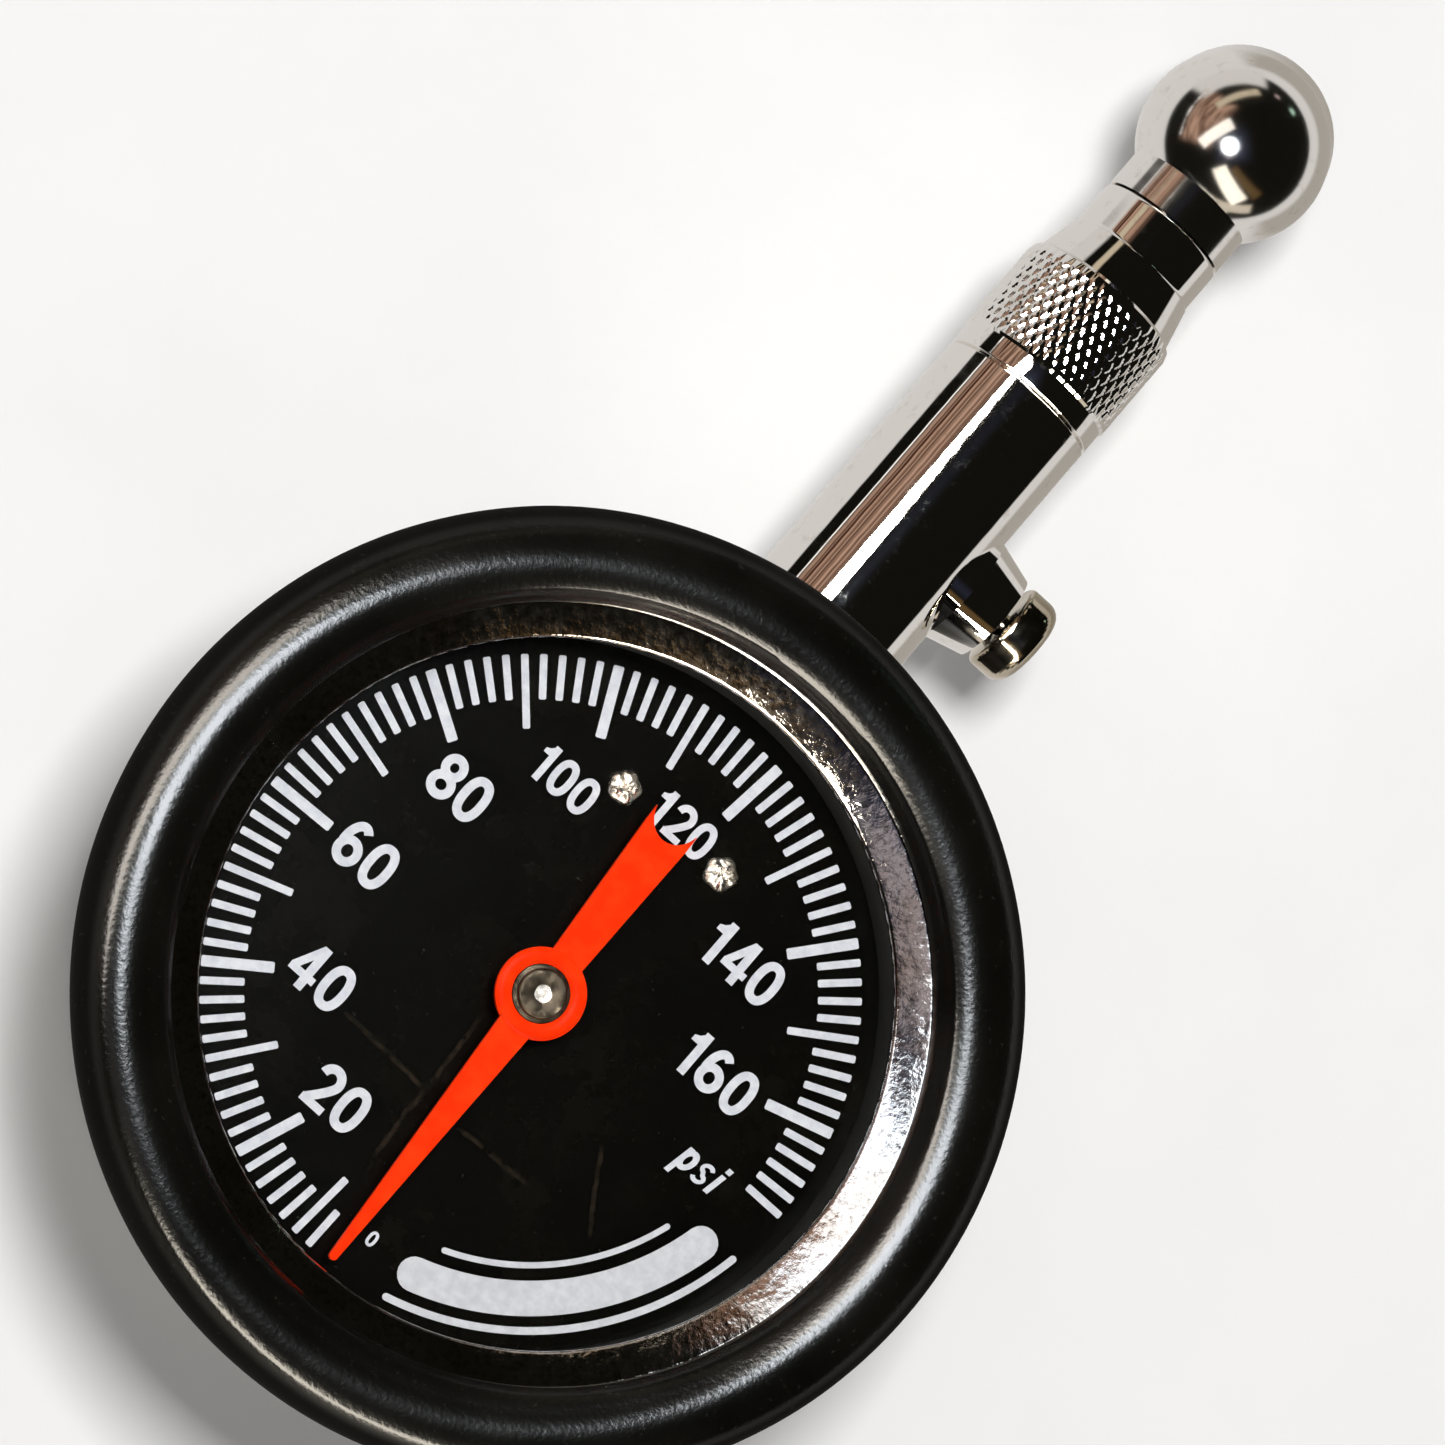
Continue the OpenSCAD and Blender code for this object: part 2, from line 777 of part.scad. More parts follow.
module depressor_pin() {
    color(brass) {
        along_mouth(pin_head_top - pin_head_t) rod(1.8, pin_head_t);
        along_mouth(pin_head_top - eps) rod(depressor_r, depressor_tip - pin_head_top - 0.2);
        along_mouth(depressor_tip - 0.2 - 2 * eps)
            cylinder(r1 = depressor_r, r2 = depressor_r - 0.2, h = 0.2);
    }
}

module pin_spring() {
    color(steel) along_mouth(pin_chamber_floor)
        coil(1.5, 0.2, pin_head_top - pin_head_t - pin_chamber_floor, 3);
}

rubber_boot();
case_cup();
bezel_ring();
lens();
lens_gasket();
dial_plate();
dial_screws();
dial_posts();
socket_block();
case_screws();
bourdon_tube();
tube_tip();
tip_pin();
link_bar();
tail_pin();
sector_gear();
sector_arbor();
movement_back_plate();
movement_front_plate();
movement_pillars();
plate_screws();
sector_stop_pin();
hairspring();
hairspring_stud();
hairspring_collet();
pinion_arbor();
pointer();
pointer_bush();
stem_washer();
stem_tube();
check_seat();
check_poppet();
poppet_spring();
bleeder_seat();
bleeder_button();
bleeder_o_ring();
bleeder_spring();
swivel_plug();
knurled_collar();
swivel_o_ring();
swivel_clip();
chuck_body();
chuck_seal();
pin_guide();
depressor_pin();
pin_spring();
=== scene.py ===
import json
import math
import random

import bmesh
import bpy
from mathutils import Matrix, Vector, noise
from mathutils.geometry import delaunay_2d_cdt


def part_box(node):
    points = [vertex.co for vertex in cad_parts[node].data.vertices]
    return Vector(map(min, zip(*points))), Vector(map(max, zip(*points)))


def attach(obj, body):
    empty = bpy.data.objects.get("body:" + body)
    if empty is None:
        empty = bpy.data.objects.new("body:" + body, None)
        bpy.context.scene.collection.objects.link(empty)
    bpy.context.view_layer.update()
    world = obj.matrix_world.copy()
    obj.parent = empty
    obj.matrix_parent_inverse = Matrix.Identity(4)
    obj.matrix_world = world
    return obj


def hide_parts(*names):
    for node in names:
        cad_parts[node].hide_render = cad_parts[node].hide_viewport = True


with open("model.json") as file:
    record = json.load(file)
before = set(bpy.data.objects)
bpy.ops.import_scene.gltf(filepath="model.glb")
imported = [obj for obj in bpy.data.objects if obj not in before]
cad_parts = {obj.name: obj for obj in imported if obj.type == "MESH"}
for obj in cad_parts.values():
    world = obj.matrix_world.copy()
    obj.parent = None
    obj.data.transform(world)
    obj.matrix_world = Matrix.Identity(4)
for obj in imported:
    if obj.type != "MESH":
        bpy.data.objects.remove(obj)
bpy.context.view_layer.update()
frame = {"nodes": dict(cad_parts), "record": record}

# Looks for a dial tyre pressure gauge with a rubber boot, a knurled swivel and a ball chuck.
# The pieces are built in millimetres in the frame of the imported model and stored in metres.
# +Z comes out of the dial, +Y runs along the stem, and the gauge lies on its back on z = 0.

MM = 0.001
TAU = 2 * math.pi


# ---- Sizes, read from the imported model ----

def box_mm(node):
    """The low and high corners of a CAD node, in millimetres."""
    low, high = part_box(node)
    return low / MM, high / MM


BOOT_HIGH = box_mm("rubber_boot")[1]
BEZEL_LOW, BEZEL_HIGH = box_mm("bezel_ring")
LENS_LOW, LENS_HIGH = box_mm("lens")
DIAL_Z = box_mm("dial_plate")[1].z
POINTER_LOW, POINTER_HIGH = box_mm("pointer")
BUSH_LOW, BUSH_HIGH = box_mm("pointer_bush")
TUBE_LOW = box_mm("stem_tube")[0]
COLLAR_LOW, COLLAR_HIGH = box_mm("knurled_collar")
SCREW_LOW, SCREW_HIGH = box_mm("dial_screws")

STEM_Z = (COLLAR_LOW.z + COLLAR_HIGH.z) / 2
TUBE_R = -TUBE_LOW.x
KNURL_R = (COLLAR_HIGH.x - COLLAR_LOW.x) / 2
BEZEL_R = BEZEL_HIGH.x
POINTER_TIP_R = -POINTER_LOW.y


# ---- Mesh helpers ----

def arc(cx, cy, rx, ry, start, end, count):
    """Points along part of an ellipse, with the angles in degrees."""
    points = []
    for i in range(count + 1):
        a = math.radians(start + (end - start) * i / count)
        points.append((cx + rx * math.cos(a), cy + ry * math.sin(a)))
    return points


def curve(a, b, c, count):
    """Points along a quadratic curve from a to c, pulled towards b, without its first point."""
    points = []
    for i in range(1, count + 1):
        t = i / count
        points.append(tuple((1 - t) ** 2 * a[k] + 2 * t * (1 - t) * b[k] + t * t * c[k] for k in (0, 1)))
    return points


def revolve(profile, steps):
    """Turns (radius, height) points about Z. A profile that doesn't touch the axis is a closed loop."""
    verts, rings = [], []
    for r, z in profile:
        if r < 1e-6:
            rings.append([len(verts)])
            verts.append((0, 0, z))
            continue
        rings.append(list(range(len(verts), len(verts) + steps)))
        verts += [(r * math.cos(TAU * i / steps), r * math.sin(TAU * i / steps), z) for i in range(steps)]
    return verts, bridge(rings, closed=min(len(r) for r in rings) > 1)


def bridge(rings, closed):
    """Faces between each ring of vertices and the next. A ring of one vertex is a pole."""
    faces = []
    pairs = list(zip(rings, rings[1:] + rings[:1])) if closed else list(zip(rings, rings[1:]))
    for p, q in pairs:
        steps = max(len(p), len(q))
        for i in range(steps):
            j = (i + 1) % steps
            corners = [p[i % len(p)], p[j % len(p)], q[j % len(q)], q[i % len(q)]]
            face = list(dict.fromkeys(corners))
            if len(face) > 2:
                faces.append(face)
    return faces


def flat_solid(polygons, low, high):
    """One closed solid from flat polygons that may overlap, between two heights."""
    verts, faces = [], []
    for polygon in polygons:
        area = sum(a[0] * b[1] - b[0] * a[1] for a, b in zip(polygon, polygon[1:] + polygon[:1]))
        ordered = polygon if area > 0 else polygon[::-1]
        faces.append(list(range(len(verts), len(verts) + len(ordered))))
        verts += [Vector(p) for p in ordered]
    made = delaunay_2d_cdt(verts, [], faces, 0, 1e-5)
    points = made[0]
    triangles = [list(f) for f, source in zip(made[2], made[5]) if source]
    used = sorted({i for f in triangles for i in f})
    place = {old: new for new, old in enumerate(used)}
    triangles = [[place[i] for i in f] for f in triangles]
    count = len(used)
    edges = {}
    for f in triangles:
        for a, b in zip(f, f[1:] + f[:1]):
            edges[(a, b)] = True
    walls = [[a, b, b + count, a + count] for a, b in edges if (b, a) not in edges]
    solid = [(points[i][0], points[i][1], low) for i in used]
    solid += [(points[i][0], points[i][1], high) for i in used]
    tops = [[i + count for i in f] for f in triangles]
    return solid, [f[::-1] for f in triangles] + tops + walls


def joined(solids):
    """Several solids as one."""
    verts, faces = [], []
    for more_verts, more_faces in solids:
        faces += [[i + len(verts) for i in f] for f in more_faces]
        verts += more_verts
    return verts, faces


def along_stem(verts, y):
    """Turns a solid whose own +Z is up so that it lies along the stem, starting at y."""
    return [(vx, y + vz, STEM_Z - vy) for vx, vy, vz in verts]


def make_piece(name, solid, body, slot, replaces=(), look=None, sharp=35):
    """A piece riding on a CAD body. It may stand for CAD nodes, and may have another look than its slot's."""
    verts, faces = solid
    mesh = bpy.data.meshes.new(name)
    mesh.from_pydata([Vector(v) * MM for v in verts], [], faces)
    work = bmesh.new()
    work.from_mesh(mesh)
    bmesh.ops.recalc_face_normals(work, faces=work.faces)
    work.to_mesh(mesh)
    work.free()
    mesh.shade_smooth()
    mesh.set_sharp_from_angle(angle=math.radians(sharp))
    mesh.materials.append(look or MATERIALS[slot])
    piece = bpy.data.objects.new(name, mesh)
    bpy.context.scene.collection.objects.link(piece)
    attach(piece, body)
    if replaces:
        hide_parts(*replaces)
    return piece


# ---- Material helpers ----

class Graph:
    """Short ways to build a node tree."""

    def __init__(self, owner):
        owner.use_nodes = True
        self.tree = owner.node_tree
        self.tree.nodes.clear()

    def node(self, kind, values=(), out=0, **settings):
        """Adds a node. A value is either a number or colour to set, or a socket to link."""
        made = self.tree.nodes.new(kind)
        for key, value in settings.items():
            setattr(made, key, value)
        for key, value in dict(values).items():
            if isinstance(value, bpy.types.NodeSocket):
                self.tree.links.new(value, made.inputs[key])
            else:
                made.inputs[key].default_value = value
        return made.outputs[out] if made.outputs else None

    def place(self):
        return self.node("ShaderNodeTexCoord", out="Object")

    def axes(self, vector):
        made = self.node("ShaderNodeSeparateXYZ", {0: vector}).node
        return made.outputs[0], made.outputs[1], made.outputs[2]

    def vector(self, x, y, z):
        return self.node("ShaderNodeCombineXYZ", {0: x, 1: y, 2: z})

    def math(self, operation, a, b=0.0, c=0.0):
        return self.node("ShaderNodeMath", {0: a, 1: b, 2: c}, operation=operation)

    def dot(self, vector, axis):
        return self.node("ShaderNodeVectorMath", {0: vector, 1: axis}, 1, operation="DOT_PRODUCT")

    def length(self, x, y):
        return self.math("SQRT", self.math("ADD", self.math("MULTIPLY", x, x), self.math("MULTIPLY", y, y)))

    def noise(self, vector, scale, detail=3.0, rough=0.55):
        values = {"Vector": vector, "Scale": scale, "Detail": detail, "Roughness": rough}
        return self.node("ShaderNodeTexNoise", values)

    def remap(self, value, low, high, to_low=0.0, to_high=1.0, smooth=False):
        kind = "SMOOTHSTEP" if smooth else "LINEAR"
        values = {0: value, 1: low, 2: high, 3: to_low, 4: to_high}
        return self.node("ShaderNodeMapRange", values, interpolation_type=kind)

    def mix(self, share, a, b):
        made = self.node("ShaderNodeMix", data_type="RGBA").node
        for socket, value in zip((made.inputs[0], made.inputs[6], made.inputs[7]), (share, a, b)):
            if isinstance(value, bpy.types.NodeSocket):
                self.tree.links.new(value, socket)
            else:
                socket.default_value = value
        return made.outputs[2]

    def bump(self, height, distance, strength=1.0):
        return self.node("ShaderNodeBump", {"Height": height, "Distance": distance, "Strength": strength})

    def surface(self, **values):
        """A principled shader on the material's surface, with its sockets' names as keywords."""
        shader = self.node("ShaderNodeBsdfPrincipled", {k.replace("_", " "): v for k, v in values.items()})
        self.node("ShaderNodeOutputMaterial", {"Surface": shader})


def colour(r, g, b):
    return (r, g, b, 1.0)


def worn_metal(name, base, shade, rough, dents=0.0, spread=260.0):
    """Metal whose colour and gloss vary softly, with faint handling marks."""
    material = bpy.data.materials.new(name)
    g = Graph(material)
    at = g.place()
    broad = g.noise(at, spread, 4.0)
    fine = g.noise(at, 4000.0, 2.0)
    height = g.math("MULTIPLY_ADD", broad, dents, fine)
    g.surface(
        Base_Color=g.mix(g.remap(broad, 0.3, 0.7), shade, base),
        Metallic=1.0,
        Roughness=g.remap(g.noise(at, 900.0, 5.0), 0.35, 0.75, rough[0], rough[1]),
        Normal=g.bump(height, 0.000002),
    )
    return material


def stem_chrome(name, rough):
    """Bright plating on the stem, the collar, the bleeder and the chuck."""
    material = bpy.data.materials.new(name)
    g = Graph(material)
    at = g.place()
    broad = g.noise(at, 150.0, 3.0)
    marks = g.remap(g.noise(at, 700.0, 6.0, 0.7), 0.55, 0.8)
    g.surface(
        Base_Color=g.mix(marks, colour(0.90, 0.885, 0.86), colour(0.70, 0.66, 0.60)),
        Metallic=1.0,
        Roughness=g.remap(marks, 0.0, 1.0, rough, 0.16),
        Normal=g.bump(broad, 0.00003),
    )
    return material


def bezel_chrome():
    """Spun and handled plating, with short radial chatter marks all round the ring."""
    material = bpy.data.materials.new("bezel_chrome")
    g = Graph(material)
    x, y, z = g.axes(g.place())
    angle = g.math("ARCTAN2", y, x)
    polar = g.vector(g.math("MULTIPLY", angle, 6.0), g.math("MULTIPLY", g.length(x, y), 220.0), z)
    chatter = g.noise(polar, 6.0, 4.0, 0.6)
    dents = g.noise(g.place(), 420.0, 2.0, 0.5)
    relief = g.math("MULTIPLY_ADD", dents, 1.6, chatter)
    patches = g.remap(g.noise(g.place(), 170.0, 4.0), 0.35, 0.65)
    plating = g.mix(patches, colour(0.58, 0.51, 0.45), colour(0.80, 0.80, 0.83))
    streaks = g.remap(g.noise(polar, 11.0, 5.0, 0.7), 0.5, 0.7)
    g.surface(
        Base_Color=g.mix(streaks, plating, colour(0.22, 0.20, 0.18)),
        Metallic=1.0,
        Roughness=g.remap(chatter, 0.3, 0.7, 0.05, 0.11),
        Normal=g.bump(relief, 0.00007, 0.5),
    )
    return material


# Radii between which the boot's polish fades out, in millimetres.
MATT_FROM, MATT_TO = 30.0, 30.9


def boot_rubber():
    """Moulded black rubber, polished by handling on its rim and matt on its side."""
    material = bpy.data.materials.new("boot_rubber")
    g = Graph(material)
    at = g.place()
    cloud = g.noise(at, 90.0, 4.0)
    dust = g.remap(g.noise(at, 1800.0, 4.0, 0.7), 0.62, 0.78)
    x, y, _ = g.axes(at)
    matt = g.remap(g.length(x, y), MATT_FROM * MM, MATT_TO * MM, smooth=True)
    base = g.mix(g.remap(cloud, 0.3, 0.7), colour(0.0024, 0.0023, 0.0017), colour(0.0055, 0.0052, 0.0040))
    g.surface(
        Base_Color=g.mix(g.math("MULTIPLY", dust, 0.5), base, colour(0.05, 0.048, 0.038)),
        Roughness=g.math("ADD", g.remap(cloud, 0.3, 0.7, 0.17, 0.23), g.math("MULTIPLY", matt, 0.5)),
        Normal=g.bump(g.noise(at, 3200.0, 3.0), 0.00002),
        Specular_IOR_Level=g.remap(matt, 0.0, 1.0, 0.3, 0.03),
    )
    return material


# The two ends of each scratch, and how far the line strays from straight, in millimetres.
DIAL_SCRATCHES = [
    ((-8.6, -9.1), (-1.3, -9.3)), ((-1.6, -3.3), (-0.8, -16.3)),
    ((1.9, -9.8), (8.1, -9.5)), ((9.9, -4.3), (13.3, -9.5)),
]
SCRATCH_STRAY = 0.6


def scratch(g, at, start, end):
    """A mask for a faint uneven line between two points of the dial."""
    a, b = Vector((*start, 0.0)) * MM, Vector((*end, 0.0)) * MM
    along = (b - a).normalized()
    across = Vector((-along.y, along.x, 0.0))
    stray = SCRATCH_STRAY * MM
    wander = g.math("MULTIPLY_ADD", g.noise(at, 500.0, 3.0), stray, -stray / 2 - across.dot(a))
    side = g.math("ADD", g.dot(at, across), wander)
    reach = g.dot(at, along)
    middle, half = along.dot(a + b) / 2, (b - a).length / 2
    inside = g.remap(g.math("ABSOLUTE", g.math("SUBTRACT", reach, middle)), half, half * 0.8)
    patchy = g.remap(g.noise(at, 1400.0, 3.0), 0.35, 0.6)
    line = g.remap(g.math("ABSOLUTE", side), 0.20 * MM, 0.06 * MM)
    return g.math("MULTIPLY", g.math("MULTIPLY", line, inside), patchy)


def dial_black():
    """Satin black enamel with specks and a few faint scratches."""
    material = bpy.data.materials.new("dial_black")
    g = Graph(material)
    at = g.place()
    specks = g.remap(g.noise(at, 1300.0, 3.0, 0.8), 0.70, 0.80)
    haze = g.remap(g.noise(at, 120.0, 5.0, 0.7), 0.45, 0.8)
    base = g.mix(haze, colour(0.0016, 0.0015, 0.0010), colour(0.0050, 0.0046, 0.0030))
    seen = g.mix(specks, base, colour(0.05, 0.046, 0.034))
    for start, end in DIAL_SCRATCHES:
        seen = g.mix(g.math("MULTIPLY", scratch(g, at, start, end), 0.8), seen, colour(0.030, 0.022, 0.014))
    g.surface(
        Base_Color=seen,
        Roughness=0.14,
        Normal=g.bump(g.noise(at, 2500.0, 2.0), 0.000004),
        Specular_IOR_Level=0.08,
    )
    return material


def ink(name, light, dark):
    """Screen-printed ink, a little uneven."""
    material = bpy.data.materials.new(name)
    g = Graph(material)
    g.surface(
        Base_Color=g.mix(g.remap(g.noise(g.place(), 1500.0, 4.0), 0.35, 0.65), dark, light),
        Roughness=0.4,
        Specular_IOR_Level=0.1,
    )
    return material


def pointer_paint():
    """Fluorescent orange-red with a little painted glow, which pales where it is thin."""
    material = bpy.data.materials.new("pointer_paint")
    g = Graph(material)
    at = g.place()
    thin = g.remap(g.noise(at, 700.0, 4.0), 0.4, 0.8)
    paint = g.mix(thin, colour(1.0, 0.030, 0.002), colour(1.0, 0.055, 0.006))
    g.surface(
        Base_Color=paint,
        Roughness=0.28,
        Specular_IOR_Level=0.01,
        # The emission is a painted glow, the same under any lamp.
        Emission_Color=colour(1.0, 0.05, 0.002),
        Emission_Strength=0.10,
        Normal=g.bump(g.noise(at, 2600.0, 3.0), 0.00001),
    )
    return material


def lens_clear():
    """Thin clear window. Lamps reach what is behind it."""
    material = bpy.data.materials.new("lens_clear")
    g = Graph(material)
    at = g.place()
    shader = g.node("ShaderNodeBsdfPrincipled", {
        "Base Color": colour(1, 1, 1),
        "Transmission Weight": 1.0,
        "IOR": 1.2,
        "Roughness": 0.0,
        "Normal": g.bump(g.noise(at, 120.0, 2.0), 0.000004),
    })
    ray = g.node("ShaderNodeLightPath").node
    for_light = g.math("MAXIMUM", ray.outputs["Is Shadow Ray"], ray.outputs["Is Diffuse Ray"])
    clear = g.node("ShaderNodeBsdfTransparent")
    shown = g.node("ShaderNodeMixShader", {0: for_light, 1: shader, 2: clear})
    g.node("ShaderNodeOutputMaterial", {"Surface": shown})
    return material


def plain_solid(name, base, shade, rough, gloss=0.5):
    """Rubber, fibre and other parts with no metal in them."""
    material = bpy.data.materials.new(name)
    g = Graph(material)
    at = g.place()
    g.surface(
        Base_Color=g.mix(g.remap(g.noise(at, 600.0, 5.0), 0.35, 0.7), shade, base),
        Roughness=rough,
        Specular_IOR_Level=gloss,
        Normal=g.bump(g.noise(at, 3000.0, 3.0), 0.00001),
    )
    return material


MATERIALS = {
    "boot_rubber": boot_rubber(),
    "bezel_chrome": bezel_chrome(),
    "lens_clear": lens_clear(),
    "dial_black": dial_black(),
    "pointer_paint": pointer_paint(),
    "stem_chrome": stem_chrome("stem_chrome", 0.035),
    "chuck_chrome": stem_chrome("chuck_chrome", 0.12),
}
# Name, light colour, dark colour, and the range of the roughness.
for row in (
    ("case_steel", colour(0.62, 0.62, 0.63), colour(0.45, 0.45, 0.47), (0.25, 0.45)),
    ("brass", colour(0.83, 0.66, 0.34), colour(0.62, 0.45, 0.2), (0.18, 0.36)),
    ("bronze", colour(0.74, 0.50, 0.27), colour(0.5, 0.3, 0.15), (0.22, 0.42)),
    ("bleeder_chrome", colour(0.72, 0.66, 0.56), colour(0.42, 0.36, 0.25), (0.05, 0.16)),
    ("spring_steel", colour(0.66, 0.66, 0.68), colour(0.4, 0.4, 0.42), (0.15, 0.3)),
    ("screw_steel", colour(0.78, 0.74, 0.68), colour(0.42, 0.36, 0.28), (0.15, 0.4), 2.0),
    ("bush_steel", colour(0.050, 0.040, 0.028), colour(0.005, 0.004, 0.003), (0.3, 0.55), 2.0, 1500.0),
):
    MATERIALS[row[0]] = worn_metal(*row)
# Name, light colour, dark colour, roughness and, for the seals, the strength of the gloss.
for row in (
    ("seal_rubber", colour(0.005, 0.005, 0.004), colour(0.003, 0.003, 0.0025), 0.6, 0.06),
    ("fibre", colour(0.32, 0.10, 0.06), colour(0.2, 0.06, 0.04), 0.7),
):
    MATERIALS[row[0]] = plain_solid(*row)
WHITE_INK = ink("white_ink", colour(0.78, 0.80, 0.84), colour(0.64, 0.66, 0.72))
GREY_INK = ink("grey_ink", colour(0.72, 0.735, 0.77), colour(0.60, 0.61, 0.65))
NODE_LOOKS = {"bleeder_button": "bleeder_chrome", "chuck_body": "chuck_chrome"}


def paint_nodes():
    """Every CAD node takes the look of its record's slot, or its own."""
    slots = {part["node"]: part["material_slot"] for part in frame["record"]["subparts"]}
    for name, node in frame["nodes"].items():
        node.data.materials.clear()
        node.data.materials.append(MATERIALS[NODE_LOOKS.get(name, slots[name])])


# ---- Boot and bezel ----

CASE_R = 25.0
ROUND_STEPS = 256

BOOT_TUBE_R = 3.3
BOOT_RING_R = BOOT_HIGH.x - BOOT_TUBE_R
BOOT_RING_Z = BOOT_HIGH.z - BOOT_TUBE_R
BOOT_SAG = 0.6
BOOT_LIP_R = 25.25
BOOT_BACK_R = 27.0
BOOT_BACK_T = 2.5
BOOT_SHOULDER_Z = 18.5

BEZEL_TOP = 25.2
BEZEL_LIP_R = 23.0
BEZEL_SLOPE = 26
BAND_BULGE = 0.022
# How far the bezel sits low on the side of the stem, and between which turns, in degrees.
BEZEL_DROP = 0.42
DROP_FROM, DROP_FULL, DROP_EASE, DROP_END = 2, 72, 96, 138


def boot_profile():
    """The boot's section: its back, its wall, the bumper ring, the lip over the bezel, and the inside."""
    inner_r = BEZEL_R + 0.02
    lip_low = BEZEL_TOP + 0.03
    lip_round, lip_side = 0.12, 0.03
    corner = 2.5
    wall_foot, wall_top, wall_pull = (BOOT_BACK_R, corner), (28.75, 17.0), (29.2, 21.2)
    low_angle = -20
    inner_angle = 180 - math.degrees(math.acos((BOOT_RING_R - BOOT_LIP_R - lip_round) / BOOT_TUBE_R))
    ring_low = arc(BOOT_RING_R, BOOT_RING_Z, BOOT_TUBE_R, BOOT_TUBE_R, low_angle, low_angle, 1)[0]
    points = [(0, 0), (8, 0), (16, 0)]
    points += arc(BOOT_BACK_R - corner, corner, corner, corner, -90, 0, 10)
    points += [tuple(a + (b - a) * i / 6 for a, b in zip(wall_foot, wall_top)) for i in range(1, 6)]
    points += [wall_top] + curve(wall_top, wall_pull, ring_low, 12)
    points += arc(BOOT_RING_R, BOOT_RING_Z, BOOT_TUBE_R, BOOT_TUBE_R, low_angle, inner_angle, 56)[1:]
    lip_z = points[-1][1]
    points += [(BOOT_LIP_R + lip_side, lip_z - lip_round), (BOOT_LIP_R, lip_z - 2 * lip_round)]
    points += [(BOOT_LIP_R, lip_low), (inner_r, lip_low), (inner_r, BOOT_SHOULDER_Z)]
    points += [(CASE_R, BOOT_SHOULDER_Z), (CASE_R, 10), (CASE_R, BOOT_BACK_T)]
    return points + [(12, BOOT_BACK_T), (0, BOOT_BACK_T)]


def boot_unevenness(v):
    """Moves a point of the boot a little: its rim sags away from the stem, and nothing is quite round."""
    wave, wave_scale = 0.0016, 0.09
    inner_r, inner_fade, outer_fade = BEZEL_R + 0.1, 0.8, 2.0
    back_z, rim_z = 1, 22
    r = math.hypot(v[0], v[1])
    if v[2] < back_z or r < inner_r:
        return v
    push = 1 + wave * noise.noise(Vector(v) * wave_scale)
    rim = min(1.0, (r - inner_r) / inner_fade, (BOOT_HIGH.x - r) / outer_fade) if v[2] > rim_z else 0.0
    return v[0] * push, v[1] * push - BOOT_SAG * max(0.0, rim), v[2]


def add_boot():
    """The boot is turned, made slightly uneven, and cut for the stem."""
    hole_r, hole_from, hole_long = TUBE_R + 0.1, 20, 20
    verts, faces = revolve(boot_profile(), ROUND_STEPS)
    uneven = [boot_unevenness(v) for v in verts]
    boot = make_piece("boot", (uneven, faces), "gauge", "boot_rubber", ["rubber_boot"])
    hole = revolve([(0, 0), (hole_r, 0), (hole_r, hole_long), (0, hole_long)], 96)
    mesh = bpy.data.meshes.new("stem_hole")
    mesh.from_pydata([Vector(v) * MM for v in along_stem(hole[0], hole_from)], [], hole[1])
    cutter = bpy.data.objects.new("stem_hole", mesh)
    bpy.context.scene.collection.objects.link(cutter)
    cut = boot.modifiers.new("stem_hole", "BOOLEAN")
    cut.object = cutter
    cut.solver = "EXACT"
    bpy.context.view_layer.objects.active = boot
    bpy.ops.object.modifier_apply(modifier=cut.name)
    bpy.data.objects.remove(cutter)


def bezel_profile():
    """The bezel's section: a rounded inner corner, a wide sloping band, and an edge under the boot's lip."""
    corner, crest, band_points = 0.35, 0.3, 16
    inner_r = LENS_HIGH.x + 0.02
    slope = math.radians(BEZEL_SLOPE)
    corner_r = BEZEL_LIP_R + corner
    band_end = arc(BEZEL_R - crest, BEZEL_TOP - crest, crest, crest, 90 + BEZEL_SLOPE, 0, 12)
    run = band_end[0][0] - corner_r + corner * math.sin(slope)
    corner_z = band_end[0][1] - run * math.tan(slope) - corner * math.cos(slope)
    points = [(BEZEL_LIP_R, LENS_HIGH.z)]
    points += arc(corner_r, corner_z, corner, corner, 180, 90 + BEZEL_SLOPE, 10)
    start = points[-1]
    for i in range(1, band_points):
        t = i / band_points
        r, z = (start[k] + (band_end[0][k] - start[k]) * t for k in (0, 1))
        points.append((r, z + BAND_BULGE * 4 * t * (1 - t)))
    points += band_end + [(BEZEL_R, 21.0), (BEZEL_R, BEZEL_LOW.z), (CASE_R, BEZEL_LOW.z)]
    return points + [(CASE_R, LENS_LOW.z), (inner_r, LENS_LOW.z), (inner_r, LENS_HIGH.z)]


def bezel_drop(v):
    """How low a point of the bezel sits. The inner edge stays on the lens."""
    if v[2] <= LENS_HIGH.z + 0.01:
        return 0.0
    turn = math.degrees(math.atan2(v[1], v[0]))
    rise = min(1.0, max(0.0, (turn - DROP_FROM) / (DROP_FULL - DROP_FROM)))
    fall = max(0.0, 1 - (max(0.0, turn - DROP_EASE) / (DROP_END - DROP_EASE)) ** 3)
    reach = (math.hypot(v[0], v[1]) - BEZEL_LIP_R) / (BEZEL_R - BEZEL_LIP_R)
    return BEZEL_DROP * rise * rise * (3 - 2 * rise) * fall * reach


def add_bezel():
    verts, faces = revolve(bezel_profile(), ROUND_STEPS)
    solid = [(x, y, z - bezel_drop((x, y, z))) for x, y, z in verts], faces
    return make_piece("bezel", solid, "gauge", "bezel_chrome", ["bezel_ring"])


# ---- Dial print ----

INK_T = 0.03
# Degrees of the scale for each psi, and where its zero is from straight down.
PSI_DEG = 1.659
ZERO_DEG = -12.1
TICK_OUT_R = 22.0
TICK_IN_R = 19.05
LONG_TICK_IN_R = 17.15
TICK_W = 0.5
MAIN_TICK_W = 0.72


